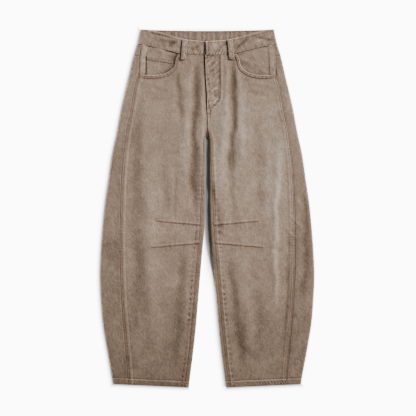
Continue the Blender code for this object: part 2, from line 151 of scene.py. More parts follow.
def pocket_edge_v(u):
    return np.interp(u, POCKET_U, POCKET_V)


def inner_edge(v):
    """The u of the leg's edge on the inside, which opens into the gap between the legs."""
    opened = smoothstep((v - PARTING_V) / (FULL_GAP_V - PARTING_V))
    return mix(CROTCH_GAP, outline("gap", v), opened)


def inseam(v):
    parted = CROTCH_GAP + outline("inseam_in", PARTING_V)
    above = parted * np.maximum(0.0, v - CROTCH_V) / (PARTING_V - CROTCH_V)
    return np.where(v <= PARTING_V, above, inner_edge(v) + outline("inseam_in", v))


def fly_x(v):
    return -7.5 * (1.0 - smoothstep((v - 60.0) / 202.0))


print("leg at its widest:", round(float(outline("outer", 703.0) - outline("gap", 703.0))), "mm")

# %% [markdown]
# ## Folds and creases
#
# Laid denim keeps soft troughs and ridges where it was folded and where it wore. They could be
# simulated, but the photo shows just which ones there are, so each is placed one by one: a line down
# the leg with its own width, rise and fade. Washing pales the ridges and leaves the troughs dark, and
# each fold's tone adds painted shade along its trough and a painted highlight along its ridge.

# %% The folds, and the short creases between them
# A fold's or crease's tone is partly wash and partly painted light: painted shade in a trough, a painted
# highlight on a ridge.
FOLD_COLUMNS = ("side", "v_top", "v_end", "u_top", "u_middle", "u_end", "half_width", "rise", "tone")
FOLDS = (
    (-1, 70, 545, 27, 41, 39, 10, -4.8, -38),
    (-1, 92, 500, 12, 16, 17, 9, 2.2, 9),
    (-1, 84, 330, 46, 52, 60, 10, 2.2, 9),
    (-1, 100, 470, 62, 67, 69, 15, 1.6, 8),
    (-1, 112, 270, 84, 84, 74, 8, -2.2, -15),
    (-1, 400, 545, 92, 93, 92, 5, -1.0, -10),
    (-1, 180, 900, 196, 207, 182, 23, -3.6, -20),
    (-1, 343, 930, 144, 167, 134, 27, 2.2, 14),
    (-1, 620, 975, 68, 86, 94, 14, -2.0, -13),
    (-1, 560, 900, 52, 60, 66, 12, 1.2, 7),
    (-1, 170, 420, 172, 184, 190, 14, 1.2, 8),
    (-1, 700, 990, 188, 196, 200, 13, 1.1, 7),
    (1, 74, 440, 66, 72, 55, 9, -5.0, -38),
    (1, 80, 300, 52, 53, 52, 7, 1.8, 9),
    (1, 200, 470, 45, 41, 35, 10, 1.9, 10),
    (1, 84, 400, 82, 90, 96, 12, 2.4, 9),
    (1, 240, 530, 134, 143, 145, 16, -1.7, -13),
    (1, 300, 830, 209, 192, 198, 9, 2.6, 27),
    (1, 300, 600, 172, 170, 166, 14, 1.0, 6),
    (1, 440, 815, 268, 276, 257, 12, -2.8, -14),
    (1, 430, 605, 16, 24, 38, 8, -2.4, -24),
    (1, 330, 600, 60, 68, 82, 11, -1.6, -11),
    (-1, 330, 540, 128, 124, 118, 12, -1.4, -9),
    (1, 635, 985, 57, 79, 102, 13, -3.2, -22),
    (1, 620, 900, 92, 108, 126, 15, 1.4, 8),
    (1, 730, 910, 135, 145, 134, 14, -1.5, -11),
    (1, 560, 900, 226, 228, 214, 9, -1.4, -14),
)
CREASE_COLUMNS = ("x_a", "v_a", "x_b", "v_b", "half_width", "rise", "tone")
CREASES = (
    (-118, 150, -176, 172, 9, 0.8, 7),
    (-112, 178, -178, 160, 6, -0.7, -7),
    (-100, 204, -170, 196, 6, -0.6, -6),
    (-84, 74, -62, 92, 5, 0.9, 9),
    (-52, 78, -38, 100, 5, 0.8, 8),
    (80, 78, 70, 104, 5, -0.8, -9),
    (92, 140, 124, 150, 5, -0.7, -9),
    (-92, 138, -126, 152, 5, -0.7, -8),
    (108, 176, 176, 190, 7, -0.8, -8),
    (120, 150, 186, 160, 6, 0.7, 7),
    (-40, 316, -92, 344, 8, 0.9, 6),
    (34, 322, 96, 352, 8, 0.9, 6),
    (226, 520, 262, 560, 3, 0.9, 12),
    (218, 556, 248, 596, 3, 0.9, 10),
    (-60, 232, -20, 252, 7, -0.9, -9),
    (-22, 262, -70, 286, 8, 0.8, 6),
    (24, 250, 62, 238, 7, -0.8, -9),
    (20, 268, 74, 292, 8, 0.8, 6),
    (-132, 546, -170, 538, 7, -0.9, -9),
    (-150, 621, -196, 633, 8, -1.0, -9),
    (157, 546, 198, 538, 7, -0.8, -8),
    (174, 621, 212, 632, 8, -0.9, -8),
    (-20, 560, -60, 585, 7, 0.8, 6),
    (24, 566, 70, 590, 7, 0.8, 6),
    (252, 484, 266, 506, 4, 1.0, 12),
    (254, 546, 272, 570, 4, 1.0, 12),
    (256, 610, 280, 640, 5, 0.8, 8),
    (-262, 520, -282, 560, 5, 0.8, 8),
    (-256, 690, -286, 720, 6, 0.8, 7),
    (-90, 890, -140, 925, 9, -1.0, -8),
    (-150, 930, -210, 960, 9, 0.9, 6),
    (90, 905, 150, 940, 9, -1.0, -8),
    (150, 960, 205, 935, 9, 0.9, 6),
    (-70, 700, -120, 742, 9, 0.8, 6),
    (110, 690, 160, 722, 9, -0.8, -7),
)


def waves(x, y, seed, longest, shortest):
    """A smooth random surface of about unit height, the same on every run."""
    draw = np.random.RandomState(seed)
    total = 0.0
    for _ in range(9):
        length = math.exp(draw.uniform(math.log(shortest), math.log(longest)))
        turn = draw.uniform(0, 2 * math.pi)
        along = (x * math.cos(turn) + y * math.sin(turn)) * 2 * math.pi / length
        total = total + np.sin(along + draw.uniform(0, 6.28) + 0.8 * np.sin(along * 0.37 + seed))
    return total / 3.0


def crease_shape(x, v, ends, half_width, reach):
    """A crease of height 1 between two ends, which are given as x_a, v_a, x_b and v_b."""
    x_a, v_a, x_b, v_b = ends
    dx, dv = x_b - x_a, v_b - v_a
    along = ((x - x_a) * dx + (v - v_a) * dv) / (dx * dx + dv * dv)
    away = (x - x_a - along * dx) ** 2 + (v - v_a - along * dv) ** 2
    return np.exp(-(((along - 0.5) / reach) ** 4)) * np.exp(-away / half_width**2)


def fold_sum(side, u, v, column):
    """What all the folds and creases of a side add up to, in the column of the tables named."""
    total = np.zeros(np.broadcast(u, v).shape)
    for fold in FOLDS:
        f = dict(zip(FOLD_COLUMNS, fold))
        if f["side"] != side:
            continue
        along = np.clip((v - f["v_top"]) / (f["v_end"] - f["v_top"]), 0.0, 1.0)
        bow = f["u_middle"] - (f["u_top"] + f["u_end"]) / 2
        line = mix(f["u_top"], f["u_end"], along) + bow * 4 * along * (1 - along)
        line = line + 2.2 * np.sin(v / 23.0 + f["u_top"]) + 1.3 * np.sin(v / 9.7 + f["u_end"])
        taper = smoothstep(along / 0.22) * smoothstep((1 - along) / 0.22)
        wide = f["half_width"] * (1.0 + 0.2 * np.sin(v / 37.0 + f["u_middle"]))
        total = total + f[column] * taper * hump(u, line, wide)
    for crease in CREASES:
        c = dict(zip(CREASE_COLUMNS, crease))
        total = total + c[column] * crease_shape(side * u, v, crease[:4], c["half_width"], 0.42)
    return total


def face_height(side, u, v):
    """How high the cloth's outer face stands over the floor on the front."""
    dip = 4.4 * hump(u, 0.0, 22.0) * hump(v, CROTCH_V + 12.0, 32.0)
    drape = 0.55 * waves(side * u, v, 3, 160.0, 60.0) + 0.22 * waves(side * u, v, 8, 46.0, 18.0)
    return np.clip(outline("height", v) + 1.2 * fold_sum(side, u, v, "rise") + drape - dip, 3.4, 14.0)


print(len(FOLDS), "folds and", len(CREASES), "creases")

# %% [markdown]
# ## Seams pucker
#
# Thread shrinks less than denim does in the wash, so every seam draws up in small uneven puckers.
# They are a short wave along the seam that dies away within a finger's width of it. High cloth is
# painted pale, partly for wear and partly as a painted highlight, and low cloth dark as painted shade.

# %% Puckers and wash tones
def pucker(along, away, seed, length=9.0, reach=9.0):
    """A short uneven wave along a seam. It dies away within its reach, in millimetres."""
    wobble = 1.6 * np.sin(along / 31.0 + seed) + 1.1 * np.sin(along / 12.7 + 2 * seed)
    wave = np.sin(2 * math.pi * along / length + wobble) + 0.5 * np.sin(
        2 * math.pi * along / (length * 0.61) + 2.3 * wobble
    )
    return wave * np.exp(-np.abs(away) / reach) * (0.65 + 0.35 * np.sin(along / 47.0 + seed))


TONE_V = (0.0, 75.0, 140.0, 224.0, 420.0, 560.0, 660.0, 760.0, 850.0, 930.0, LENGTH)
TONE = (150.0, 150.0, 156.0, 160.0, 159.0, 158.0, 156.0, 147.0, 136.0, 131.0, 128.0)
# A dart's numbers are the v of its grid row, its v at the inseam and at its point, and its point's u.
DARTS = ((552.0, 559.0, 546.0, 145.0), (614.0, 607.0, 621.0, 160.0))
HEM_DEPTH = 16.5
FELL = 14.0
INSEAM_FELL = 11.0


def wash_and_shade_tone(side, u, v):
    """The cloth's lightness, 0 to 255, before its seams: its wash and the folds' painted light and shade.
    """
    patches = 3.0 * waves(side * u * 1.6, v * 0.6, 21, 140.0, 50.0)
    patches = patches + 2.6 * waves(side * u * 1.5, v * 0.5, 22, 30.0, 12.0)
    # Paler on the wearer's left thigh, and darker on the right leg from the knee down.
    side_tone_shift = 11.0 * smoothstep((v - 150.0) / 80.0) * smoothstep((620.0 - v) / 200.0) if side > 0 else 0.0
    side_tone_shift = side_tone_shift - (6.0 * smoothstep((v - 560.0) / 60.0) if side < 0 else 0.0)
    return np.interp(v, TONE_V, TONE) + fold_sum(side, u, v, "tone") + patches + side_tone_shift


def hem_v(u):
    """The hem's line, which rises towards the outseam."""
    return LENGTH - 9.5 * np.maximum(0.0, u - 53.0) / 214.0


def hem_rise(u, v):
    """How far a point moves up so that the lowest row follows the hem's line."""
    return (LENGTH - hem_v(u)) * smoothstep((v - 900.0) / (LENGTH - 900.0))


def dart_line(dart, u):
    """How far down a dart's seam is at u."""
    at_inseam, at_point, length = dart[1:]
    return mix(at_inseam, at_point, np.minimum(1.0, u / length))


def seam_effects(side, u, v, to_outseam, to_inseam):
    """Height and tone that the seams, darts and hem add to a front panel."""
    rise = 0.9 * smoothstep((FELL - to_outseam) / 1.2) + 0.0 * u
    out_pucker = pucker(v, to_outseam - 6.0, 1.0, 8.5, 8.0)
    rise = rise + 0.5 * out_pucker - 0.7 * seam_line(to_outseam, 3.4, 3.0)
    # This tone is painted light and shade, with some wear on pucker crests: highlights on band edges,
    # pucker crests, dart ridges and the hem's fold, and shade in seam grooves, pucker troughs, inseam dents
    # and above the hem.
    tone = 9.0 * out_pucker + 14.0 * seam_line(to_outseam, 0.8, 2.0)
    tone = tone + 17.0 * seam_line(to_outseam - FELL, -1.8, 4.0)
    tone = tone - 15.0 * seam_line(to_outseam - FELL, 1.8, 5.0)
    tone = (tone - 20.0 * seam_line(to_outseam, 3.6, 2.5)) * (0.62 if side > 0 else 0.85)
    below = smoothstep((v - CROTCH_V) / 20.0)
    rise = rise + 0.9 * below * smoothstep((INSEAM_FELL - to_inseam) / 1.2)
    in_pucker = pucker(v, to_inseam - 7.0, 4.0, 14.5, 8.0) * below
    rise = rise + 0.6 * in_pucker - 0.8 * below * seam_line(to_inseam, 3.2, 2.0)
    tone = tone + 7.0 * in_pucker - 22.0 * below * seam_line(to_inseam, 3.4, 2.0)
    tone = tone + 18.0 * below * seam_line(to_inseam - INSEAM_FELL, -2.6, 4.0)
    pulled = 0.2 - 0.9 * pucker(v, 0.0, 4.0, 14.5, 9.0) + 0.3 * np.sin(v / 29.0)
    dents = smoothstep(pulled) * below * smoothstep((v - 480.0) / 130.0)
    tone = tone - 48.0 * dents * seam_line(to_inseam - INSEAM_FELL, 1.2, 4.5)
    rise = rise - 0.7 * dents * seam_line(to_inseam - INSEAM_FELL, 1.2, 4.5)
    above = 1.0 - below
    tone = tone - 6.0 * above * seam_line(to_inseam, 0.0, 30.0)
    rise = rise + 0.25 * above * pucker(v, to_inseam, 2.0, 11.0, 12.0)
    for k, dart in enumerate(DARTS):
        past = smoothstep((dart[3] + 4.0 - u) / 10.0)
        away = v - dart_line(dart, u)
        ridge = seam_line(away, -2.2, 6.0)
        drawn = pucker(u, away, 6.0 + k, 12.0, 9.0) * past
        rise = rise + past * (1.3 * ridge - 0.9 * seam_line(away, 0.8, 1.8)) + 0.4 * drawn
        tone = tone + past * (16.0 * ridge - 52.0 * seam_line(away, 0.8, 2.4)) + 9.0 * drawn
        tone = tone - 5.0 * past * seam_line(away, 8.0, 40.0)
    up = hem_v(u) - v
    hem = smoothstep((HEM_DEPTH - up) / 0.9)
    rope = pucker(u + 0.55 * up, up - 7.0, 9.0 + side, 7.5, 13.0) * hem
    rise = rise + 1.0 * hem + 0.9 * rope
    tone = tone + 27.0 * rope - 9.0 * seam_line(up, 0.0, 9.0) - 22.0 * seam_line(up - HEM_DEPTH, 2.2, 3.0)
    tone = tone + 30.0 * seam_line(up - HEM_DEPTH, -1.2, 3.0) - 6.0 * hem
    return rise, tone

# %% [markdown]
# ## From grid to cloth
#
# A panel is cloth cut flat, so each one starts as a flat grid. Its points are then moved to their
# place on the laid garment, and a Solidify modifier gives the cloth its thickness. A point's tone
# goes along as an attribute, which the denim's material reads.

# %% A helper that lays a grid as cloth
def as_points(x, v, z):
    """Points in a row. Each of the three is one number, or one number for each point."""
    return np.stack(np.broadcast_arrays(x, v, z), axis=-1)


def add_object(name, data):
    made = bpy.data.objects.new(name, data)
    bpy.context.scene.collection.objects.link(made)
    return made


def to_mesh(bm, name):
    """Ends a bmesh as a new mesh."""
    mesh = bpy.data.meshes.new(name)
    bm.to_mesh(mesh)
    bm.free()
    return mesh


def new_bmesh():
    bm = bmesh.new()
    bm.verts.layers.float.new("tone")
    return bm


def lay_grid(bm, points, tones, missing=None):
    """Adds a grid whose points lie at points[row, column], in millimetres as x, v and z."""
    rows, columns = points.shape[:2]
    made = bmesh.ops.create_grid(bm, x_segments=columns - 1, y_segments=rows - 1, size=1.0)["verts"]
    layer = bm.verts.layers.float["tone"]
    lost = []
    for vert in made:
        c = round((vert.co.x + 1.0) / 2.0 * (columns - 1))
        r = round((1.0 - vert.co.y) / 2.0 * (rows - 1))
        x, v, z = points[r, c]
        vert.co = (x * MM, (LENGTH / 2 - v) * MM, z * MM)
        vert[layer] = tones[r, c] / 255.0
        if missing is not None and missing[r, c]:
            lost.append(vert)
    bmesh.ops.delete(bm, geom=lost, context="VERTS")


def finish_cloth(bm, name, thickness):
    """Turns the bmesh into a piece with its thickness inwards, riding on the garment."""
    bmesh.ops.remove_doubles(bm, verts=bm.verts, dist=0.00002)
    bmesh.ops.recalc_face_normals(bm, faces=bm.faces)
    bm.normal_update()
    top = max(bm.verts, key=lambda vert: vert.co.z)
    if top.normal.z < 0:
        bmesh.ops.reverse_faces(bm, faces=bm.faces)
    mesh = to_mesh(bm, name)
    mesh.shade_smooth()
    piece = add_object(name, mesh)
    if thickness:
        wall = piece.modifiers.new("thickness", "SOLIDIFY")
        wall.thickness = thickness * MM
        wall.offset = -1.0
        wall.use_even_offset = False
    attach(piece, "root")
    print(name, "has", len(mesh.polygons), "faces")
    return piece

# %% [markdown]
# ## The front panels
#
# A front runs from the waistband and the pocket's edge down to the hem. Its grid's top row follows
# that edge, and the rows below straighten out. The columns crowd together beside the seams, where
# the felled bands make small steps, and the rows do so along the pocket's edge.

# %% Front panels
INNER_STEPS = np.arange(0.0, 10.0, 1.0)
OUTER_STEPS = np.arange(13.0, -1.0, -1.0)
PLAIN_COLUMNS = 60
POCKET_BAND = 8.5
JOIN_V = 250.0


def front_columns(side, v):
    """The u of each column at each row, for a column vector of v."""
    v = np.atleast_1d(v).astype(float)[:, None]
    first = side * fly_x(v) + inseam(v) + GAP / 2
    last = outline("outseam", v) - GAP / 2
    share = (np.arange(PLAIN_COLUMNS) + 1.0) / (PLAIN_COLUMNS + 1.0)
    low, high = first + INNER_STEPS[-1], last - OUTER_STEPS[0]
    return np.concatenate([first + INNER_STEPS, low + (high - low) * share, last - OUTER_STEPS], axis=1)


def even_columns(side, v):
    """The u of every column, each at its own v."""
    return np.diagonal(front_columns(side, v)).copy()


def front_top_edge(side):
    """The front's top edge, along the waistband seam and round the pocket, a point a column."""
    first = side * float(fly_x(73.0)) + GAP / 2
    last = float(outline("outseam", 130.0)) - GAP / 2
    seam_u = np.arange(first + INNER_STEPS[-1], POCKET_U[0], 2.0)
    fine, knots = np.arange(0, 12.01, 0.1), np.arange(13)
    path_u = np.concatenate([seam_u, np.interp(fine, knots, POCKET_U)])
    path_v = np.concatenate([band_bottom(seam_u) + GAP, np.interp(fine, knots, POCKET_V)])
    keep = path_u <= last - OUTER_STEPS[0]
    path_u, path_v = path_u[keep], path_v[keep]
    run = np.concatenate([[0.0], np.cumsum(np.hypot(np.diff(path_u), np.diff(path_v)))])
    at = np.linspace(0.0, run[-1], PLAIN_COLUMNS + 2)[1:-1]
    u = np.concatenate([first + INNER_STEPS, np.interp(at, run, path_u), last - OUTER_STEPS])
    start_v = band_bottom(first + INNER_STEPS) + GAP
    v = np.concatenate([start_v, np.interp(at, run, path_v), np.full(len(OUTER_STEPS), 130.0)])
    return u, v


def front_grid(side):
    """The front's points as u and v, how far each is from the pocket's edge, and who is on it."""
    top_u, top_v = front_top_edge(side)
    count = len(top_u)
    du, dv = np.gradient(top_u), np.gradient(top_v)
    on_pocket = (top_u > POCKET_U[0] - 1.0).astype(float)
    on_pocket[-len(OUTER_STEPS):] = 0.0
    size = np.hypot(du, dv)
    into_u, into_v = -dv / size * on_pocket, mix(1.0, du / size, on_pocket)
    for _ in range(3):
        into_u = np.convolve(np.pad(into_u, 1, "edge"), (0.25, 0.5, 0.25), "valid")
        into_v = np.convolve(np.pad(into_v, 1, "edge"), (0.25, 0.5, 0.25), "valid")
    ends = np.r_[0:len(INNER_STEPS), count - len(OUTER_STEPS):count]
    rows = []
    for inset in np.arange(0.0, 11.0, 1.0):
        u, v = top_u + into_u * inset, top_v + into_v * inset
        u[ends] = even_columns(side, v)[ends]
        rows.append((u, v, np.full(count, inset)))
    far_inset = np.full(count, 99.0)
    start_u, start_v = u, v
    offset = start_u - even_columns(side, start_v)
    for share in np.linspace(0.0, 1.0, 40)[1:]:
        v = mix(start_v, JOIN_V, share)
        rows.append((even_columns(side, v) + offset * (1.0 - smoothstep(share)), v, far_inset))
    down = np.unique(np.concatenate([
        np.arange(JOIN_V + 3.0, 530.0, 3.0), np.arange(530.0, 640.0, 1.6),
        np.arange(640.0, LENGTH - 20.0, 3.2), np.arange(LENGTH - 20.0, LENGTH, 1.0), [LENGTH],
    ]))
    for row_v in down:
        u = front_columns(side, row_v)[0]
        shift = np.zeros(count)
        for dart in DARTS:
            reach = abs(row_v - dart[0])
            hold = smoothstep((240.0 - u) / 80.0) * (1.0 - smoothstep((reach - 5.0) / 21.0))
            shift = shift + (dart_line(dart, u) - dart[0]) * hold
        v = row_v + shift
        u = even_columns(side, v)
        v = v - hem_rise(u, row_v)
        rows.append((u, v, far_inset))
    return (*np.array(rows).transpose(1, 0, 2), on_pocket)


FLY_BEND_V = 187.0
# Each spot is a small high or low place over the concealed fly: its u, its v, its size and its tone.
# The tone is a painted highlight on a high spot and painted shade in a low one.
FLY_SPOTS = (
    (29.0, 168.0, 5.0, 17.0), (27.0, 188.0, 6.0, -17.0), (9.0, 97.0, 4.0, 15.0),
    (19.0, 96.0, 3.5, -15.0), (27.0, 97.0, 4.0, 13.0), (8.0, 138.0, 5.0, 15.0),
    (22.0, 146.0, 5.0, 9.0), (10.0, 196.0, 5.0, 12.0), (16.0, 118.0, 5.0, -9.0),
    (31.0, 122.0, 4.0, 9.0), (7.0, 172.0, 4.0, 9.0),
)


def fly_relief(u, v):
    """The fly's facing through the front: J seam, puckers and spots, in relief and painted light and shade.
    """
    bent = np.maximum(0.0, v - FLY_BEND_V)
    edge = 38.5 * np.sqrt(np.clip(1.0 - (bent / 38.0) ** 2, 0.0, 1.0))
    above = smoothstep((236.0 - v) / 14.0)
    inside = smoothstep((edge - u) / 4.0) * smoothstep((225.0 - v) / 6.0)
    seam = pucker(v, u - edge, 3.0, 9.0, 5.0) * above
    crumple = waves(u * 1.5, v, 61, 17.0, 8.0) * inside
    rise = 1.0 * inside + 0.6 * seam + 0.7 * crumple
    rise = rise + above * (0.8 * hump(u - edge, 6.5, 2.2) - 0.7 * seam_line(u, edge, 2.5))
    # The tones paint a shadow along the facing's edge, highlights on its ridge and J arcs, and shade in the
    # pucker dashes and low spots.
    tone = 20.0 * seam + 19.0 * crumple - 50.0 * above * seam_line(u, edge, 2.4)
    tone = tone + above * (32.0 * hump(u - edge, 6.5, 2.4) - 18.0 * hump(u - edge, 3.2, 1.3))
    for inner in (8.0, 14.0, 20.0):
        ring = np.hypot(u - 4.0, bent) - (edge + 38.0) / 2 + inner
        arc = smoothstep((v - 188.0) / 14.0) * above * smoothstep((u - 6.0) / 8.0)
        arc = arc * seam_line(ring, 0.0, 3.0)
        rise, tone = rise + 0.5 * arc, tone + 30.0 * arc
    dash = smoothstep(0.6 + np.sin(v / 1.85 + np.sin(v / 9.0)) - 0.4) * smoothstep((v - 84.0) / 6.0)
    dash = dash * above
    tone = tone - 38.0 * dash * hump(u, 10.0 + 1.5 * np.sin(v / 13.0), 1.6)
    short_line = hump(u, 19.0 - 1.5 * np.sin(v / 17.0), 1.5) * smoothstep((170.0 - v) / 20.0)
    tone = tone - 27.0 * dash * short_line
    tone = tone - 11.0 * hump(v, 77.0, 8.0) * smoothstep((46.0 - u) / 8.0)
    for spot_u, spot_v, size, amount in FLY_SPOTS:
        spot = hump(u, spot_u, size) * hump(v, spot_v, size)
        rise, tone = rise + 0.08 * amount * spot, tone + 1.5 * amount * spot
    return rise, tone


LOOP_TOP_V = 29.5
LOOP_FOOT_V = 86.0
LOOP_TOP_U = 63.5
LOOP_FOOT_U = 69.0


def loop_middle(v):
    """The u of a belt loop's middle line, which leans outwards."""
    return LOOP_TOP_U + (LOOP_FOOT_U - LOOP_TOP_U) * (v - LOOP_TOP_V) / (LOOP_FOOT_V - LOOP_TOP_V)


def loop_shade(x, v):
    """The painted shadow that the belt loops cast beside them and under their feet."""
    shade = 0.0
    for side in (-1, 1):
        middle = side * loop_middle(v)
        down = smoothstep((v - 31.0) / 3.0) * smoothstep((88.0 - v) / 3.0)
        shade = shade - 46.0 * down * hump(x - middle, -9.2, 2.0)
        shade = shade - 22.0 * down * hump(x - middle, 8.6, 1.3)
        foot = hump(v, 87.8, 1.5) * smoothstep((9.0 - np.abs(x - middle)) / 2.0)
        shade = shade - 34.0 * foot
    return shade


def front_surface(side, u, v):
    """Height and tone of the front panel's face anywhere, for the panel and for its stitches."""
    first = side * fly_x(v) + inseam(v) + GAP / 2
    to_outseam, to_inseam = outline("outseam", v) - u, u - first
    rise, tone = seam_effects(side, u, v, to_outseam, to_inseam)
    if side > 0:
        fly_rise, fly_tone = fly_relief(u + 4.0, v)
        # The lip's tone is a painted highlight along the fly's edge.
        lip = 1.7 * seam_line(to_inseam, 1.2, 3.0) * smoothstep((CROTCH_V - v) / 30.0)
        rise, tone = rise + fly_rise + 0.6 * lip, tone + fly_tone + 17.0 * lip
    else:
        wide = mix(3.6, 1.8, smoothstep((v - 190.0) / 60.0))
        # The tuck's and the soft dip's tones are painted shadow where this front slips under the fly.
        tuck = hump(to_inseam, 0.0, wide) * smoothstep((CROTCH_V + 10.0 - v) / 20.0)
        soft = hump(to_inseam, 0.0, 13.0) * smoothstep((CROTCH_V - 30.0 - v) / 60.0)
        rise, tone = rise - 2.6 * tuck - 0.9 * soft, tone - 78.0 * tuck - 9.0 * soft
    rise = rise - 0.6 * hump(np.maximum(to_outseam, 0.0), 0.0, 0.8)
    tone = tone + loop_shade(side * u, v)
    return face_height(side, u, v) + rise, wash_and_shade_tone(side, u, v) + tone


def make_front(side, name):
    u, v, inset, on_pocket = front_grid(side)
    z, tone = front_surface(side, u, v)
    band = smoothstep((POCKET_BAND + 0.5 - inset) / 1.0) * on_pocket
    edge_pucker = pucker(np.cumsum(np.ones_like(u), axis=1) * 2.6, inset - 4.0, 5.0, 7.5, 8.0)
    near = smoothstep((20.0 - np.minimum(inset, 20.0)) / 12.0) * on_pocket
    z = z + 1.0 * band + 0.4 * edge_pucker * near - 0.5 * (inset < 0.5) * on_pocket
    z = z - 0.5 * seam_line(inset, 3.6, 1.6) * on_pocket
    # Along the pocket's edge the tone paints a highlight on the rolled rim and the pucker crests, and shade
    # in the stitch groove and at the band's foot.
    tone = tone + 13.0 * edge_pucker * near + 58.0 * seam_line(inset, 1.0, 2.4) * on_pocket
    tone = tone + 12.0 * seam_line(inset, 6.0, 3.0) * on_pocket
    tone = tone - 20.0 * seam_line(inset, 3.6, 1.4) * on_pocket
    tone = tone - 30.0 * seam_line(inset - POCKET_BAND, 1.4, 3.0) * on_pocket
    bm = new_bmesh()
    lay_grid(bm, as_points(side * u, v, z), tone)
    piece = finish_cloth(bm, "denim_front_" + name, DENIM)
    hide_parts("front_leg_" + name)
    return piece

# %% [markdown]
# ## The back panels and yokes
#
# A back lies flat underneath, rolls round the outer edge and comes up on the front as far as the
# outseam. Below the crotch it does the same round the inner edge. Its grid goes round the leg in
# that order, and the columns that the cloth doesn't reach above the crotch are deleted.

# %% Back panels
ROLL = 6.0
TOP_STEPS = 22
ROLL_ANGLES = np.linspace(78.0, -90.0, 9)
UNDER_STEPS = 9
INNER_ANGLES = np.linspace(-60.0, 90.0, 7)
INSEAM_STEPS = 7


def back_columns(side, v, wrapped):
    """One row round the leg, as u and z, with how far each point is from the outseam."""
    edge, seam = float(outline("outer", v)), float(outline("outseam", v)) + GAP / 2
    turn = edge - ROLL
    top_u = mix(seam, turn, np.linspace(0.0, 1.0, TOP_STEPS) ** 0.85)
    top_z = face_height(side, top_u, v)
    out_pucker = pucker(v, top_u - seam, 1.0, 8.5, 7.0)
    top_z = top_z + 0.3 * out_pucker - 0.5 * hump(top_u, seam, 0.8)
    high = float(face_height(side, np.array(turn), v))
    top_z = mix(top_z, high, smoothstep((top_u - turn + 8.0) / 8.0))
    angle = np.radians(ROLL_ANGLES)
    roll_u, roll_z = turn + ROLL * np.cos(angle), high / 2 * (1 + np.sin(angle))
    centre = float(inner_edge(v))
    radius = min(ROLL, max(1.9, 0.5 * (float(inseam(v)) - centre)))
    end = centre + radius if wrapped else GAP / 2
    under_u = mix(turn, end, (np.arange(UNDER_STEPS) + 1.0) / UNDER_STEPS)
    angle = np.radians(INNER_ANGLES)
    low = float(face_height(side, np.array(float(inseam(v))), v))
    inner_u, inner_z = centre + radius - radius * np.cos(angle), low / 2 * (1 + np.sin(angle))
    last_share = (np.arange(INSEAM_STEPS) + 1.0) / INSEAM_STEPS
    last_u = mix(centre + radius, float(inseam(v)) - GAP / 2, last_share)
    last_z = np.full(INSEAM_STEPS, low) + 0.35 * pucker(v, inseam(v) - last_u, 4.0, 10.5, 9.0)
    u = np.concatenate([top_u, roll_u, under_u, inner_u, last_u])
    z = np.concatenate([top_z, roll_z, np.zeros(UNDER_STEPS), inner_z, last_z])
    return u, z, u - seam


FLAT_END = TOP_STEPS + len(ROLL_ANGLES) + UNDER_STEPS


def back_tone(side, u, v, away):
    # Darker from the hip down; at the seams and hem the tone paints highlights on the outseam's edge and
    # the hem's fold, shade in the groove above the hem, and the rope's light and dark, partly wear.
    darker = 17.0 * smoothstep((v - 150.0) / 260.0) - 15.0 * smoothstep((v - 620.0) / 200.0)
    tone = wash_and_shade_tone(side, u, v) - darker + 5.0 * pucker(v, away, 1.0, 8.5, 7.0)
    up = hem_v(u) - v
    tone = tone + 7.0 * seam_line(away, 1.0, 3.0) - 6.0 * seam_line(away, 6.0, 14.0)
    hem = smoothstep((HEM_DEPTH - up) / 0.9)
    tone = tone + 24.0 * seam_line(up - HEM_DEPTH, -1.2, 3.0)
    tone = tone - 20.0 * seam_line(up - HEM_DEPTH, 2.2, 3.0)
    rope = pucker(u + 0.55 * up, up - 7.0, 12.0, 7.5, 13.0)
    return tone + 22.0 * hem * rope - 9.0 * seam_line(up, 0.0, 9.0)


def back_grid(side, rows, drop, top_shift=None):
    points, tones, missing = [], [], []
    for k, v in enumerate(rows):
        wrapped = v >= PARTING_V
        u, z, away = back_columns(side, v, wrapped)
        across = np.clip((np.arange(len(u)) - TOP_STEPS - 4.0) / 12.0, 0.0, 1.0)
        down = v + drop[k] * across - hem_rise(u, v)
        if top_shift is not None:
            down = down + top_shift[k] * (band_bottom(u) + GAP - YOKE_TOP_V) * (z > 3.0)
        up = hem_v(u) - down
        lift = 0.95 * smoothstep((HEM_DEPTH - up) / 0.9) + 0.4 * pucker(u, up - 7.0, 12.0, 10.0, 13.0)
        z = z + lift * smoothstep((z - 1.0) / 3.0)
        points.append(as_points(side * u, down, np.maximum(z, 0.0)))
        tones.append(back_tone(side, u, down, away))
        missing.append(np.full(len(u), False) if wrapped else np.arange(len(u)) >= FLAT_END)
    return np.array(points), np.array(tones), np.array(missing)


def lay_crotch_web(bm, side):
    """The back's cloth between the legs, from the crotch seam's end down to its fold."""
    rows, columns = 12, 7
    points = np.zeros((rows, columns, 3))
    for r in range(rows):
        down = r / (rows - 1.0)
        v = mix(CROTCH_V + 1.0, PARTING_V, down)
        outer = max(0.6, float(inseam(np.array(v))) - 0.4)
        for c in range(columns):
            u = mix(GAP / 2, outer, c / (columns - 1.0))
            fall = 1.0 - (r / (rows - 1.0)) ** 3
            z = 0.6 + fall * (float(face_height(side, np.array(u), v)) - DENIM - 0.8)
            points[r, c] = (side * u, v + 0.8 * (1 - c / (columns - 1.0)) * down, z)
    # Its even tone of 96 is painted shade, for cloth deep between the legs.
    lay_grid(bm, points, np.full((rows, columns), 96.0))


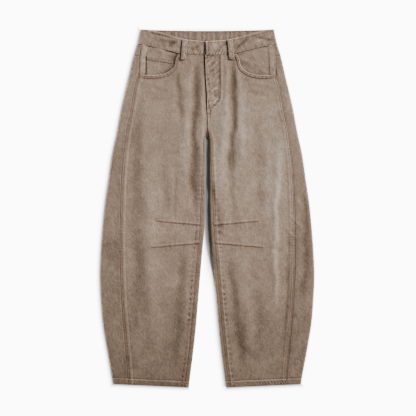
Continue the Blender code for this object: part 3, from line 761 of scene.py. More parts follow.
def make_back(side, name):
    rows = np.unique(np.concatenate([
        np.arange(YOKE_FOOT_V + GAP / 2, 300.0, 4.0), [300.0, PARTING_V],
        np.arange(310.0, LENGTH - 20.0, 3.4), np.arange(LENGTH - 20.0, LENGTH, 1.2), [LENGTH],
    ]))
    drop = YOKE_DROP * (1.0 - smoothstep((rows - YOKE_FOOT_V) / 165.0))
    bm = new_bmesh()
    lay_grid(bm, *back_grid(side, rows, drop))
    lay_crotch_web(bm, side)
    piece = finish_cloth(bm, "denim_back_" + name, DENIM)
    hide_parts("back_leg_" + name)
    rows = np.linspace(YOKE_TOP_V, YOKE_FOOT_V - GAP / 2, 12)
    down = (rows - YOKE_TOP_V) / (YOKE_FOOT_V - YOKE_TOP_V)
    bm = new_bmesh()
    lay_grid(bm, *back_grid(side, rows, YOKE_DROP * down, 1.0 - down))
    yoke = finish_cloth(bm, "denim_yoke_" + name, DENIM)
    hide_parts("back_yoke_" + name)
    return piece, yoke


fronts, backs, yokes = {}, {}, {}
for name, side in SIDES.items():
    fronts[name] = make_front(side, name)
    backs[name], yokes[name] = make_back(side, name)

# %% [markdown]
# ## The waistband
#
# The band is one folded strip, about twice as thick as the denim, that goes all the way round. Its
# tab end lies over the other end on the fly. Above the front's dipped edge the inside of its back
# shows, rippled by the seam underneath, so the ripples go into the inner face once the strip has its
# thickness.

# %% Waistband
BAND_ROLL = 6.0
BAND_HEIGHT = 9.0
TAB_HEIGHT = 11.4
UNDER_HEIGHT = 8.3
BAND_ROWS = 22


def band_height(side, x):
    if side > 0:
        return mix(TAB_HEIGHT, BAND_HEIGHT, smoothstep((x - 16.0) / 30.0))
    return mix(BAND_HEIGHT, UNDER_HEIGHT, smoothstep((x + 30.0) / 20.0))


def face_high(x):
    """The height of the end that is on top at x: the tab's or the other one."""
    return np.where(x > -4.0, band_height(1, x), band_height(-1, x))


def band_creases(x, v):
    """The band face's small creases and seam puckers, as a height and a tone of painted light and shade."""
    rise = 0.45 * waves(x, v, 31, 45.0, 14.0)
    tone = 6.0 * waves(x, v, 32, 34.0, 9.0)
    for x_a, v_a, x_b, v_b, wide, deep in (
        (76, 60, 116, 24, 5, -0.9), (20, 68, 58, 36, 5, -0.8), (134, 22, 190, 34, 4, -0.7),
        (128, 40, 182, 20, 4, 0.5), (-166, 8, -100, 24, 4, -0.8), (-150, 30, -90, 40, 5, -0.6),
        (-112, 50, -92, 34, 5, -0.8), (-50, 62, -20, 44, 5, -0.6), (36, 60, 50, 44, 6, 0.6),
    ):
        amount = deep * crease_shape(x, v, (x_a, v_a, x_b, v_b), wide, 0.45)
        rise, tone = rise + 2.1 * amount, tone + 48.0 * amount
    lump = hump(x, 11.0, 7.0) * hump(v, 51.0, 7.0)
    return rise + 0.9 * lump, tone + 7.0 * lump


def band_face(x, v):
    """Height and tone of the band's outer face on the front."""
    top, bottom = band_top(np.abs(x)), band_bottom(np.abs(x))
    share = np.clip((v - top) / (bottom - top), 0.0, 1.0)
    rise, tone = band_creases(x, v)
    from_edge = np.minimum(v - top, bottom - v)
    low = smoothstep((share - 0.4) / 0.3)
    drawn = pucker(x + 0.5 * v, from_edge - 4.0, 7.0, 8.5, 5.0) * (0.45 + 0.75 * low)
    rise = rise + 0.6 * drawn - 0.8 * hump(from_edge, 0.0, 1.4)
    rise = rise - 0.6 * seam_line(from_edge, 4.2, 2.0)
    # The tones paint highlights on the top rim, the tab, its edge and the pucker crests, and shadow beside
    # the tab's end, in the seam grooves and beside the loops.
    tone = tone + 30.0 * drawn + 30.0 * seam_line(v - top, 0.9, 2.5) - 15.0 * seam_line(v - top, 4.4, 3.0)
    tone = tone + 13.0 * seam_line(bottom - v, 1.6, 2.0) - 30.0 * seam_line(v, bottom, 1.2)
    tone = tone - 82.0 * hump(x, -8.2, 2.7) + loop_shade(x, v)
    tone = tone + 46.0 * hump(x, -2.8, 1.8) - 30.0 * hump(x, 3.2, 1.3)
    tone = tone + 12.0 * hump(x, 24.0, 16.0) * smoothstep((x + 2.0) / 4.0)
    return face_high(x) + rise * smoothstep((share + 0.15) / 0.2), 153.0 + tone


def make_waistband():
    reach = float(outline("outer", BAND_FOOT_V)) - BAND_ROLL
    top_x = np.concatenate([np.linspace(-4.5, 60.0, 34), np.linspace(62.5, reach, 56)])
    under = np.linspace(1.0, -1.0, 90)
    other_x = np.concatenate([np.linspace(reach, 62.5, 56), np.linspace(60.0, -14.0, 38)])
    angles = np.linspace(75.0, -75.0, 9)
    ring = [("top", x) for x in top_x] + [("roll", a) for a in angles] + [("under", s) for s in under]
    ring += [("roll_back", -a) for a in angles] + [("other", x) for x in other_x]
    points = np.zeros((len(ring), BAND_ROWS, 3))
    tones = np.full((len(ring), BAND_ROWS), 150.0)
    for k, (kind, at) in enumerate(ring):
        for r in range(BAND_ROWS):
            share = r / (BAND_ROWS - 1.0)
            v_side = BAND_FOOT_V * share
            turn = float(outline("outer", v_side)) - BAND_ROLL
            if kind in ("top", "other"):
                sign = 1 if kind == "top" else -1
                squeeze = mix(turn / reach, 1.0, smoothstep((60.0 - abs(at)) / 60.0))
                x = sign * at * squeeze
                top, bottom = band_top(abs(at)), band_bottom(abs(at))
                corner = max(0.0, 1.0 - (at + 4.5) / 6.0) if kind == "top" else 0.0
                top = top + 2.4 * corner**2
                v = mix(top, bottom, share)
                z, tone = band_face(np.array(x), np.array(v))
                z = band_height(sign, sign * at) + (float(z) - float(face_high(x)))
                z = mix(z, BAND_HEIGHT, float(smoothstep((abs(at) - reach + 8.0) / 8.0)))
                points[k, r] = (x, v, z)
                tones[k, r] = float(tone)
            elif kind == "under":
                points[k, r] = (turn * at, mix(3.5 * (1.0 - at * at), BAND_FOOT_V, share), 0.0)
                tones[k, r] = 140.0
            else:
                sign = 1 if kind == "roll" else -1
                c, s = math.cos(math.radians(at)), math.sin(math.radians(at))
                points[k, r] = (sign * (turn + BAND_ROLL * c), v_side, BAND_HEIGHT / 2 * (1 + s))
    bm = new_bmesh()
    lay_grid(bm, points, tones)
    piece = finish_cloth(bm, "denim_waistband", 0)
    mesh = piece.data
    thick = bmesh.new()
    thick.from_mesh(mesh)
    bmesh.ops.solidify(thick, geom=thick.faces, thickness=BAND * MM)
    layer = thick.verts.layers.float["tone"]
    for vert in thick.verts:
        x, v, z = vert.co.x / MM, LENGTH / 2 - vert.co.y / MM, vert.co.z / MM
        if abs(z - BAND) < 0.4 and abs(x) < BAND_INSIDE_U and vert.normal.z > 0.5:
            ripple = math.sin(x / 2.6 + 1.7 * math.sin(x / 11.0)) + 0.6 * math.sin(x / 1.55 + 2.0)
            fade = float(smoothstep((BAND_INSIDE_U - abs(x)) / 12.0) * smoothstep((v - 3.0) / 6.0))
            vert.co.z += 0.55 * ripple * fade * MM
            # The ripples' light and dark and the shadow under the front's top edge are painted; a thin
            # darker line also runs along the inside at v 12.
            lap = float(band_top(abs(x))) - v
            dark = 34.0 * math.exp(-max(lap, 0.0) / 3.5) + 12.0 * math.exp(-abs(v - 12.0) / 3.0)
            vert[layer] = (150.0 + 15.0 * ripple * fade - dark) / 255.0
    low = min(vert.co.z for vert in thick.verts)
    print("the band's lowest point is", round(low / MM, 3), "mm")
    thick.to_mesh(mesh)
    thick.free()
    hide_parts("waistband")
    return piece


band = make_waistband()

# %% [markdown]
# ## Belt loops, pocket facings and the coin pocket
#
# The loops are narrow folded strips over the band. The facing is the hip piece that shows in the
# pocket's opening, and the coin pocket lies on it. All three are small grids laid like the panels.

# %% Small pieces
def side_strip(u, v):
    """1 on the raised strip beside the outseam, and 0 off it."""
    inwards = outline("outseam", v) - u
    return smoothstep((inwards - 3.5) / 2.0) * smoothstep((18.5 - inwards) / 2.0)


def facing_face(side, u, v):
    drop = (DENIM + 0.5) * np.maximum(
        smoothstep((outline("outseam", v) - u - 4.0) / 20.0), smoothstep((v - 100.0) / 16.0)
    )
    rise = 0.9 * side_strip(u, v) + 0.4 * waves(side * u, v, 41, 50.0, 20.0)
    return face_height(side, u, v) - drop + rise + 0.25 * pucker(v, outline("outseam", v) - u, 1.0)


def make_facing(side, name):
    rows, columns = 26, 46
    first = 77.0
    share_u = np.linspace(0.0, 1.0, columns) ** 0.9
    points, tones = np.zeros((rows, columns, 3)), np.zeros((rows, columns))
    for r in range(rows):
        down = r / (rows - 1.0)
        base_u = mix(first, 197.0, share_u)
        top = band_bottom(base_u) + GAP
        foot = pocket_edge_v(np.maximum(base_u, 95.0)) + mix(9.0, -GAP, smoothstep((base_u - 180.0) / 14.0))
        v = mix(top, foot, down)
        last = outline("outseam", v) - GAP / 2
        u = first + (last - first) * share_u
        points[r] = as_points(side * u, v, facing_face(side, u, v))
        # The tone paints a shadow into the pocket's opening, a highlight on the raised strip beside the
        # outseam, and shade in the grooves beside it and in the folds of the wearer's left facing.
        beside = mix(1.0, 0.25, smoothstep((u - 88.0) / 40.0)) if side < 0 else 0.35
        beyond = np.interp(v, POCKET_V, POCKET_U)
        near_edge = np.exp(-np.abs(pocket_edge_v(u) - v) / 6.0)
        near_edge = np.maximum(near_edge, np.exp(-np.abs(u - beyond) / 9.0))
        tones[r] = 156.0 - 96.0 * beside * near_edge + 17.0 * side_strip(u, v)
        tones[r] += 6.0 * waves(side * u, v, 42, 40.0, 12.0)
        tones[r] -= 46.0 * hump(last - u, 19.6, 1.3) * smoothstep((v - 58.0) / 12.0)
        tones[r] -= 24.0 * hump(last - u, 2.6, 1.2)
        if side > 0:
            along = (u - 104.0) * 0.5 - (v - 96.0)
            tones[r] -= 19.0 * hump(along, 0.0, 7.0) * hump(u, 118.0, 22.0)
            tones[r] -= 40.0 * hump(u, 186.0, 3.0) * hump(v, 118.0, 9.0)
    bm = new_bmesh()
    lay_grid(bm, points, tones)
    piece = finish_cloth(bm, "denim_facing_" + name, 1.0)
    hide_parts("pocket_facing_" + name)
    return piece


def make_coin_pocket():
    rows, columns = 18, 34
    share = np.linspace(0.0, 1.0, columns)
    u, top = mix(101.0, 174.0, share), mix(87.5, 76.0, share)
    points, tones = np.zeros((rows, columns, 3)), np.zeros((rows, columns))
    for r in range(rows):
        v = mix(top, pocket_edge_v(u) + 3.0, r / (rows - 1.0))
        rise = 0.8 * smoothstep((10.0 - (v - top)) / 1.2) + 0.2 * pucker(u, v - top, 2.0, 9.0, 6.0)
        z = facing_face(-1, u, v) + 0.2 + 1.0 + rise
        z = np.minimum(z, face_height(-1, u, v) - DENIM - 0.2 + 3.0 * (v < pocket_edge_v(u) - 3.0))
        points[r] = as_points(-u, v, z)
        # The tone paints the puckers' light and shade, shade in the stitch grooves and edge, and the shadow
        # that the front's pocket edge casts over the coin pocket.
        seam = pucker(u, v - top - 5.0, 2.0, 8.0, 8.0) * smoothstep((14.0 - (v - top)) / 3.0)
        tones[r] = 160.0 + 40.0 * seam - 34.0 * seam_line(v - top, 2.4, 2.0)
        tones[r] -= 44.0 * seam_line(v - top, 10.4, 2.6) - 9.0 * seam_line(v - top, 5.8, 5.0)
        tones[r] -= 84.0 * np.exp(-np.abs(u - np.interp(v, POCKET_V, POCKET_U)) / 10.0)
        tones[r] -= 36.0 * hump(u, 173.0, 1.5)
    bm = new_bmesh()
    lay_grid(bm, points, tones)
    piece = finish_cloth(bm, "denim_coin_pocket", 1.0)
    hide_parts("coin_pocket")
    return piece


def make_loop(side, name):
    rows, columns = 46, 13
    points, tones = np.zeros((rows, columns, 3)), np.zeros((rows, columns))
    for r in range(rows):
        down = r / (rows - 1.0)
        v = mix(LOOP_TOP_V, LOOP_FOOT_V, down)
        across = np.linspace(-1.0, 1.0, columns)
        u = loop_middle(v) + 7.3 * across
        seat = np.maximum(band_height(side, 64.0) + 0.4, 0.0) if v < 74.0 else 0.0
        seat = max(seat, float(np.max(face_height(side, u, v))) + 0.9)
        lift = 1.5 * math.sin(math.pi * min(1.0, down * 1.06)) ** 0.7
        crown = 0.5 * (1 - across**2) - 0.5 * hump(np.abs(across), 0.5, 0.12)
        ends = 0.5 * hump(v, LOOP_TOP_V, 4.0) + 0.5 * hump(v, LOOP_FOOT_V, 4.0)
        z = seat + 1.8 + lift + crown + ends + 0.15 * waves(u, v, 51, 20.0, 8.0)
        points[r] = as_points(side * u, v, z)
        # The tone paints highlights on the loop's rolled edges, ends and crown, and shade in the grooves
        # along its stitching.
        tones[r] = 158.0 + 26.0 * hump(np.abs(across), 1.0, 0.16) + 16.0 * ends
        tones[r] += 10.0 * waves(u, v, 52, 18.0, 7.0) + 12.0 * (1 - across**2)
        tones[r] -= 24.0 * hump(np.abs(across), 0.55, 0.14)
    for k in range(2, rows):
        points[k, :, 2] = np.maximum(points[k, :, 2], points[k - 1, :, 2] - 0.9)
    bm = new_bmesh()
    lay_grid(bm, points, tones)
    piece = finish_cloth(bm, "denim_belt_loop_" + name, 1.6)
    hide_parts("belt_loop_" + name)
    return piece


facings = {name: make_facing(side, name) for name, side in SIDES.items()}
loops = {name: make_loop(side, name) for name, side in SIDES.items()}
coin = make_coin_pocket()

# %% [markdown]
# ## Topstitching
#
# Each stitch is a short thread that dips into the cloth at both ends. One stitch is made once, and
# copies of it are laid along every seam, so that the thread stands on the cloth and catches light.

# %% Stitches
STITCH = 3.4
THREAD = 0.62


def stitch_shape():
    """The points and faces of one stitch, which narrows and dips at both ends."""
    bm = bmesh.new()
    bmesh.ops.create_cone(
        bm, cap_ends=True, segments=5, radius1=THREAD, radius2=THREAD, depth=STITCH * 0.78
    )
    long_edges = [e for e in bm.edges if abs(e.verts[0].co.z - e.verts[1].co.z) > 1]
    bmesh.ops.subdivide_edges(bm, edges=long_edges, cuts=1)
    for vert in bm.verts:
        if abs(vert.co.z) > STITCH * 0.3:
            vert.co.x *= 0.6
            vert.co.y = vert.co.y * 0.6 - THREAD * 0.9
    mesh = to_mesh(bm, "stitch")
    points = np.array([tuple(vert.co) for vert in mesh.vertices])
    faces = [tuple(face.vertices) for face in mesh.polygons]
    bpy.data.meshes.remove(mesh)
    return points, faces


def along_path(path, spacing):
    """Middles and directions of stitches along a path of x, v, z points."""
    run = np.concatenate([[0.0], np.cumsum(np.linalg.norm(np.diff(path, axis=0), axis=1))])
    count = max(1, int(run[-1] / spacing))
    at = (np.arange(count) + 0.5) * run[-1] / count
    middle = np.stack([np.interp(at, run, path[:, k]) for k in range(3)], axis=1)
    ahead = np.stack([np.interp(at + 0.8, run, path[:, k]) for k in range(3)], axis=1)
    behind = np.stack([np.interp(at - 0.8, run, path[:, k]) for k in range(3)], axis=1)
    return middle, ahead - behind


def sew(name, paths):
    """One mesh of stitches along all the paths given."""
    shape, faces = stitch_shape()
    middles, aheads = zip(*[along_path(np.asarray(path, float), STITCH) for path in paths])
    middle, ahead = np.concatenate(middles), np.concatenate(aheads)
    middle[:, 1] = LENGTH / 2 - middle[:, 1]
    ahead[:, 1] = -ahead[:, 1]
    ahead /= np.linalg.norm(ahead, axis=1)[:, None] + 1e-9
    across = np.cross(ahead, (0.0, 0.0, 1.0))
    across /= np.linalg.norm(across, axis=1)[:, None] + 1e-9
    up = np.cross(across, ahead)
    points = (
        middle[:, None, :] + shape[None, :, 0:1] * across[:, None, :]
        + shape[None, :, 1:2] * up[:, None, :] + shape[None, :, 2:3] * ahead[:, None, :]
    ).reshape(-1, 3) * MM
    step = len(shape)
    everything = [tuple(i + k * step for i in face) for k in range(len(middle)) for face in faces]
    mesh = bpy.data.meshes.new(name)
    mesh.from_pydata(points.tolist(), [], everything)
    bm = bmesh.new()
    bm.from_mesh(mesh)
    bmesh.ops.recalc_face_normals(bm, faces=bm.faces)
    bm.to_mesh(mesh)
    bm.free()
    mesh.shade_smooth()
    piece = add_object(name, mesh)
    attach(piece, "root")
    print(name, "has", len(middle), "stitches")
    return piece


def on_front(side, u, v, lift=0.4):
    return as_points(side * u, v, front_surface(side, u, v)[0] + lift)


def front_paths(side):
    paths = []
    v = np.arange(136.0, LENGTH - 2.0, 2.0)
    for inset in (1.4, 7.2):
        paths.append(on_front(side, outline("outseam", v) - inset, v))
    v = np.arange(CROTCH_V + 8.0, LENGTH - 2.0, 2.0)
    for inset in (1.6, 7.4):
        paths.append(on_front(side, inseam(v) + inset, v))
    u = np.arange(float(inseam(HEM_ROWS_V)) + 2.0, float(outline("outseam", HEM_ROWS_V)), 2.0)
    paths.append(on_front(side, u, hem_v(u) - HEM_DEPTH + 4.4))
    for dart in DARTS:
        u = np.arange(float(inseam(np.array(dart[1]))) + 3.0, dart[3] - 2.0, 2.0)
        paths.append(on_front(side, u, dart_line(dart, u) - 3.0))
        bar_v = dart_line(dart, np.array(dart[3])) - np.linspace(5.0, -1.5, 6)
        paths.append(on_front(side, np.full(6, dart[3] - 1.0), bar_v, 0.5))
    return paths


def pocket_paths(side):
    u, v, _, on_pocket = front_grid(side)
    keep = (on_pocket > 0.5) | (np.arange(u.shape[1]) >= u.shape[1] - len(OUTER_STEPS))
    return [on_front(side, u[row], v[row], 2.0)[keep] for row in (2, 7)]


def band_paths():
    paths = []
    for side in (-1, 1):
        start = -2.0 if side > 0 else 6.0
        x = side * np.arange(start, 182.0, 2.0)
        for v in (band_top(np.abs(x)) + 4.2, band_bottom(np.abs(x)) - 4.2):
            paths.append(as_points(x, v, band_face(x, v)[0] + 0.3))
    v = np.linspace(40.0, 70.0, 12)
    paths.append(as_points(-2.2, v, band_face(np.full(12, -2.2), v)[0] + 0.3))
    x = np.arange(-178.0, 178.0, 2.0)
    paths.append(as_points(x, 3.5 * (1 - (x / BAND_INSIDE_U) ** 2) + 3.0, BAND + 0.9))
    return paths


def fly_paths():
    paths = []
    turn = np.linspace(0.0, 1.5, 24)
    straight = np.arange(76.0, FLY_BEND_V, 2.0)
    for wide, foot in ((33.5, 33.0), (39.5, 38.0)):
        v = np.concatenate([straight, FLY_BEND_V + foot * np.sin(turn)])
        bend = np.concatenate([np.ones(len(straight)), np.cos(turn)])
        paths.append(on_front(1, wide * bend + fly_x(v) * 0.5, v))
    v = np.arange(76.0, 258.0, 2.0)
    paths.append(on_front(1, fly_x(v) + 3.2, v))
    v = np.arange(232.0, CROTCH_V - 2.0, 2.0)
    paths.append(on_front(1, fly_x(v) + 9.0, v))
    return paths


def bar(x_a, v_a, x_b, v_b, z):
    """A bartack, as three rows of thread side by side."""
    size = math.hypot(x_b - x_a, v_b - v_a)
    share = np.linspace(0.0, 1.0, 8)
    rows = []
    for offset in (-0.9, 0.0, 0.9):
        aside_x, aside_v = -(v_b - v_a) / size * offset, (x_b - x_a) / size * offset
        rows.append(as_points(mix(x_a, x_b, share) + aside_x, mix(v_a, v_b, share) + aside_v, z))
    return rows


def bar_paths():
    """The bartacks, and the two rows down each belt loop."""
    paths = []
    for side in (-1, 1):
        paths += bar(side * 57.0, 33.0, side * 70.0, 33.0, BAND_HEIGHT + 3.0)
        foot_z = float(face_height(side, np.array(69.0), 82.0)) + 3.6
        paths += bar(side * 62.0, 82.5, side * 76.0, 82.5, foot_z)
        down = np.linspace(33.0, 84.0, 26)
        for inset in (-4.6, 4.6):
            middle = loop_middle(down)
            high = np.maximum(BAND_HEIGHT + 2.6, face_height(side, middle, down) + 3.2)
            paths.append(as_points(side * middle + inset, down, high))
    for v in (209.0, 240.0):
        paths += bar(-1.0, v, 10.0, v, float(face_height(1, np.array(4.0), v)) + 1.3)
    for x in (-1.5, 10.0):
        paths += bar(x, 210.0, x, 240.0, float(face_height(1, np.array(4.0), 225.0)) + 1.3)
    return paths


def back_paths(side):
    paths = []
    first, last = float(outline("outseam", YOKE_FOOT_V)), float(outline("outer", YOKE_FOOT_V))
    u = np.linspace(first + 1.0, last - ROLL, 8)
    for v in (YOKE_FOOT_V - 2.0, YOKE_FOOT_V + 2.5):
        paths.append(as_points(side * u, v, face_height(side, u, v) + 0.3))
    first, last = float(outline("outseam", HEM_ROWS_V)), float(outline("outer", HEM_ROWS_V))
    u = np.arange(first + 2.0, last - ROLL, 2.0)
    v = hem_v(u) - HEM_DEPTH + 1.6
    paths.append(as_points(side * u, v, face_height(side, u, v) + 1.1))
    return paths


panel_paths = [path for side in (-1, 1) for path in front_paths(side) + back_paths(side)]
trim_paths = [path for side in (-1, 1) for path in pocket_paths(side)] + band_paths() + fly_paths()
seam_threads = sew("topstitch_panels", panel_paths)
trim_threads = sew("topstitch_trims", trim_paths)
bar_threads = sew("bartacks", bar_paths())

# %% [markdown]
# ## Denim
#
# Denim is a twill: fine diagonal ribs of coloured warp over pale weft. Washing leaves it streaked
# along the warp, mottled, and pale where it was rubbed. The tone attribute gives the wash its place,
# with the painted light and shade of folds, seams and pockets, and noise in the object's own
# coordinates gives it grain.

# %% Materials
def srgb(*colour):
    """A screen colour, on a scale from 0 to 255, as the linear colour that Blender takes."""
    shares = [c / 255.0 for c in colour]
    return (*[c / 12.92 if c <= 0.04045 else ((c + 0.055) / 1.055) ** 2.4 for c in shares], 1.0)


CLOTH_STOPS = (
    (40.0, (34, 24, 18)), (60.0, (50, 39, 31)), (85.0, (76, 61, 49)), (107.0, (105, 86, 71)),
    (130.0, (130, 110, 92)), (150.0, (152, 130, 111)), (165.0, (167, 144, 125)), (186.0, (190, 168, 150)),
    (210.0, (214, 196, 180)),
)


def new_material(name, roughness):
    made = bpy.data.materials.new(name)
    made.use_nodes = True
    shader = made.node_tree.nodes["Principled BSDF"]
    shader.inputs["Roughness"].default_value = roughness
    return made, made.node_tree, shader


def add_ramp(tree, value, stops):
    """Turns a value into a colour. A stop is a place from 0 to 1 and its linear colour."""
    ramp = tree.nodes.new("ShaderNodeValToRGB")
    ramp.color_ramp.interpolation = "LINEAR"
    elements = ramp.color_ramp.elements
    while len(elements) < len(stops):
        elements.new(0.5)
    for element, (at, colour) in zip(elements, stops):
        element.position = at
        element.color = colour
    tree.links.new(value, ramp.inputs["Fac"])
    return ramp.outputs["Color"]


def add_bump(tree, shader, height, strength, distance):
    bump = tree.nodes.new("ShaderNodeBump")
    bump.inputs["Strength"].default_value = strength
    bump.inputs["Distance"].default_value = distance
    tree.links.new(height, bump.inputs["Height"])
    tree.links.new(bump.outputs["Normal"], shader.inputs["Normal"])


def link_noise(tree, vector, scale, stretch, detail, rough=0.55):
    mapping = tree.nodes.new("ShaderNodeMapping")
    mapping.inputs["Scale"].default_value = stretch
    noise = tree.nodes.new("ShaderNodeTexNoise")
    noise.inputs["Scale"].default_value = scale
    noise.inputs["Detail"].default_value = detail
    noise.inputs["Roughness"].default_value = rough
    tree.links.new(vector, mapping.inputs["Vector"])
    tree.links.new(mapping.outputs["Vector"], noise.inputs["Vector"])
    return noise.outputs["Fac"]


def add_scaled(tree, base, value, amount):
    """base + (value - 0.5) * amount"""
    node = tree.nodes.new("ShaderNodeMath")
    node.operation = "MULTIPLY_ADD"
    node.inputs[1].default_value = amount
    node.inputs[2].default_value = -amount / 2
    tree.links.new(value, node.inputs[0])
    total = tree.nodes.new("ShaderNodeMath")
    total.operation = "ADD"
    tree.links.new(base, total.inputs[0])
    tree.links.new(node.outputs[0], total.inputs[1])
    return total.outputs[0]


def twill(tree, vector, turn, scale):
    mapping = tree.nodes.new("ShaderNodeMapping")
    mapping.inputs["Rotation"].default_value = (0.0, 0.0, turn)
    wave = tree.nodes.new("ShaderNodeTexWave")
    wave.wave_type = "BANDS"
    wave.bands_direction = "X"
    wave.inputs["Scale"].default_value = scale
    wave.inputs["Distortion"].default_value = 1.2
    wave.inputs["Detail"].default_value = 1.0
    tree.links.new(vector, mapping.inputs["Vector"])
    tree.links.new(mapping.outputs["Vector"], wave.inputs["Vector"])
    return wave.outputs["Fac"]


def washed_denim(name, contrast=1.0):
    made, tree, shader = new_material(name, 0.93)
    shader.inputs["Specular IOR Level"].default_value = 0.18
    shader.inputs["Sheen Weight"].default_value = 0.06
    shader.inputs["Sheen Roughness"].default_value = 0.6
    place = tree.nodes.new("ShaderNodeTexCoord").outputs["Object"]
    start = tree.nodes.new("ShaderNodeAttribute")
    start.attribute_name = "tone"
    value = start.outputs["Fac"]
    ribs = twill(tree, place, math.radians(-27.0), 330.0)
    slant = tree.nodes.new("ShaderNodeMapping")
    slant.inputs["Rotation"].default_value = (0.0, 0.0, math.radians(-27.0))
    tree.links.new(place, slant.inputs["Vector"])
    streaks = link_noise(tree, slant.outputs["Vector"], 1.0, (420.0, 80.0, 60.0), 3.0)
    warp = link_noise(tree, place, 1.0, (420.0, 60.0, 60.0), 3.0)
    grain = link_noise(tree, slant.outputs["Vector"], 560.0, (1.0, 0.3, 1.0), 2.0, 0.7)
    speck = link_noise(tree, slant.outputs["Vector"], 380.0, (1.0, 0.2, 1.0), 1.0)
    cloud = link_noise(tree, place, 26.0, (1.0, 0.7, 1.0), 2.0)
    for pattern, amount in (
        (ribs, 0.05), (streaks, 0.17), (warp, 0.05), (grain, 0.30), (speck, 0.12), (cloud, 0.02)
    ):
        value = add_scaled(tree, value, pattern, amount * contrast)
    colour = add_ramp(tree, value, [(at / 255.0, srgb(*stop)) for at, stop in CLOTH_STOPS])
    tree.links.new(colour, shader.inputs["Base Color"])
    add_bump(tree, shader, add_scaled(tree, ribs, grain, 0.9), 0.5, 0.0004)
    return made


def thread_material(name, colour):
    made, tree, shader = new_material(name, 0.7)
    shader.inputs["Sheen Weight"].default_value = 0.1
    place = tree.nodes.new("ShaderNodeTexCoord").outputs["Object"]
    wear = link_noise(tree, place, 90.0, (1.0, 1.0, 1.0), 3.0)
    dark = srgb(*[c * 0.86 for c in colour])
    pale = srgb(*[min(255, c * 1.16) for c in colour])
    tree.links.new(add_ramp(tree, wear, [(0.3, dark), (0.75, pale)]), shader.inputs["Base Color"])
    add_bump(tree, shader, twill(tree, place, 0.8, 900.0), 0.4, 0.0002)
    return made


denim = washed_denim("washed_taupe_denim")
band_denim = washed_denim("washed_band_denim", contrast=1.15)
thread = thread_material("brown_topstitch_thread", (138, 94, 72))
cloth_pieces = [*fronts.values(), *backs.values(), *yokes.values(), *facings.values(), coin]
for piece in cloth_pieces:
    piece.data.materials.append(denim)
for piece in [band, *loops.values()]:
    piece.data.materials.append(band_denim)
for piece in (seam_threads, trim_threads, bar_threads):
    piece.data.materials.append(thread)
print("materials:", [m.name for m in bpy.data.materials])

# %% [markdown]

# %% [markdown]
# ## Floor, light and camera
#
# The garment lies on a plain pale floor and is seen from straight above through a long lens. A soft
# sun from the upper right models the folds, and an even sky keeps the shadows soft. The floor gives
# off light of its own, as in the photo it is nearly white, and less of it close to the cloth, where a
# shadow is painted into its glow and colour.

# %% Stage
def floor_light(x, v):
    """The painted shadow on the floor at x and v, as a share of light: 0 is dark, 1 is far from the cloth.
    """
    across = np.abs(x) - outline("outer", np.clip(v, 0.0, LENGTH))
    below, beyond = v - hem_v(np.abs(x)), -v
    outside = np.maximum(np.maximum(across, beyond), below)
    shaded = (x < 0) & (across > beyond) | (below > across)
    dim, bright = 0.30 + 0.70 * smoothstep(outside / 17.0), 0.75 + 0.25 * smoothstep(outside / 5.0)
    side_light = np.where(shaded, dim, bright)
    half = inner_edge(np.clip(v, 0.0, LENGTH))
    between = (np.abs(x) < half + 12.0) & (v > PARTING_V - 12.0) & (below <= 0)
    from_left_leg = half - x
    narrow = 0.08 + 0.92 * smoothstep((from_left_leg - 8.0) / 27.0)
    wide = 0.33 + 0.67 * smoothstep(from_left_leg / 18.0)
    gap_light = mix(narrow, wide, smoothstep((v - 590.0) / 180.0))
    near_hem = smoothstep((below + 40.0) / 40.0)
    light = np.where(between, gap_light, side_light)
    light = np.where((np.abs(x) < 32.0) & (v > 20.0) & (v < PARTING_V + 4.0), 0.03, light)
    open_foot = (np.abs(x) < 53.0) & (below > 0)
    foot_light = mix(gap_light, 1.0, near_hem * 0.5 + 0.5 * smoothstep(below / 20.0))
    return np.where(open_foot, foot_light, light)


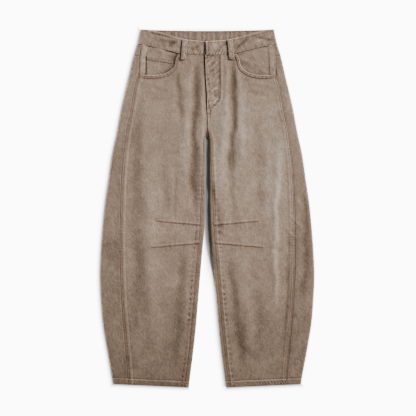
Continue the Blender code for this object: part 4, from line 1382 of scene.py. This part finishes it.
def make_floor():
    bm = bmesh.new()
    layer = bm.verts.layers.float.new("light")
    near = bmesh.ops.create_grid(bm, x_segments=240, y_segments=360, size=1.0)["verts"]
    for vert in near:
        vert.co = (vert.co.x * 0.36, vert.co.y * 0.55, 0.0)
    grid = np.array([vert.co[:2] for vert in near]) / MM
    lights = floor_light(grid[:, 0], LENGTH / 2 - grid[:, 1])
    for vert, light in zip(near, lights):
        vert[layer] = light
    edge = [e for e in bm.edges if e.is_boundary]
    grown = bmesh.ops.extrude_edge_only(bm, edges=edge)["geom"]
    for vert in [g for g in grown if isinstance(g, bmesh.types.BMVert)]:
        vert.co.x *= 14.0
        vert.co.y *= 10.0
        vert[layer] = 1.0
    mesh = to_mesh(bm, "floor")
    floor = add_object("floor", mesh)
    floor.location.z = -0.0002
    made, tree, shader = new_material("pale_floor", 1.0)
    shader.inputs["Specular IOR Level"].default_value = 0.0
    light = tree.nodes.new("ShaderNodeAttribute")
    light.attribute_name = "light"
    # The light attribute paints this shadow into the floor's colour and into its glow.
    stops = [(0.0, (0.03, 0.027, 0.025, 1.0)), (0.45, (0.97, 0.97, 0.965, 1.0))]
    shade = add_ramp(tree, light.outputs["Fac"], stops)
    glow = tree.nodes.new("ShaderNodeMapRange")
    glow.inputs["From Min"].default_value = 0.3
    glow.inputs["To Max"].default_value = 10.0
    shader.inputs["Emission Color"].default_value = (1.0, 1.0, 1.0, 1.0)
    tree.links.new(light.outputs["Fac"], glow.inputs["Value"])
    tree.links.new(shade, shader.inputs["Base Color"])
    tree.links.new(glow.outputs["Result"], shader.inputs["Emission Strength"])
    mesh.materials.append(made)
    return floor


make_floor()
SUN_FROM = Vector((0.86, 0.66, 0.72))
sun_data = bpy.data.lights.new("soft_sun", "SUN")
sun_data.energy = 4.75
sun_data.angle = math.radians(12.0)
sun = add_object("soft_sun", sun_data)
sun.rotation_euler = SUN_FROM.to_track_quat("Z", "Y").to_euler()
world = bpy.data.worlds.new("even_sky")
world.use_nodes = True
world.node_tree.nodes["Background"].inputs["Color"].default_value = (1.0, 1.0, 1.0, 1.0)
world.node_tree.nodes["Background"].inputs["Strength"].default_value = 0.26
bpy.context.scene.world = world

PHOTO_SIZE = 416
MM_PER_PIXEL = 2.85
PHOTO_CENTRE = (1.4, 0.9)
camera_data = bpy.data.cameras.new("camera")
camera_data.lens = 100.0
camera_data.sensor_width = 36.0
camera = add_object("camera", camera_data)
distance = PHOTO_SIZE * MM_PER_PIXEL * MM * camera_data.lens / camera_data.sensor_width
camera.location = (PHOTO_CENTRE[0] * MM, PHOTO_CENTRE[1] * MM, distance)
bpy.context.scene.camera = camera
print("camera", round(distance, 3), "m above the floor")
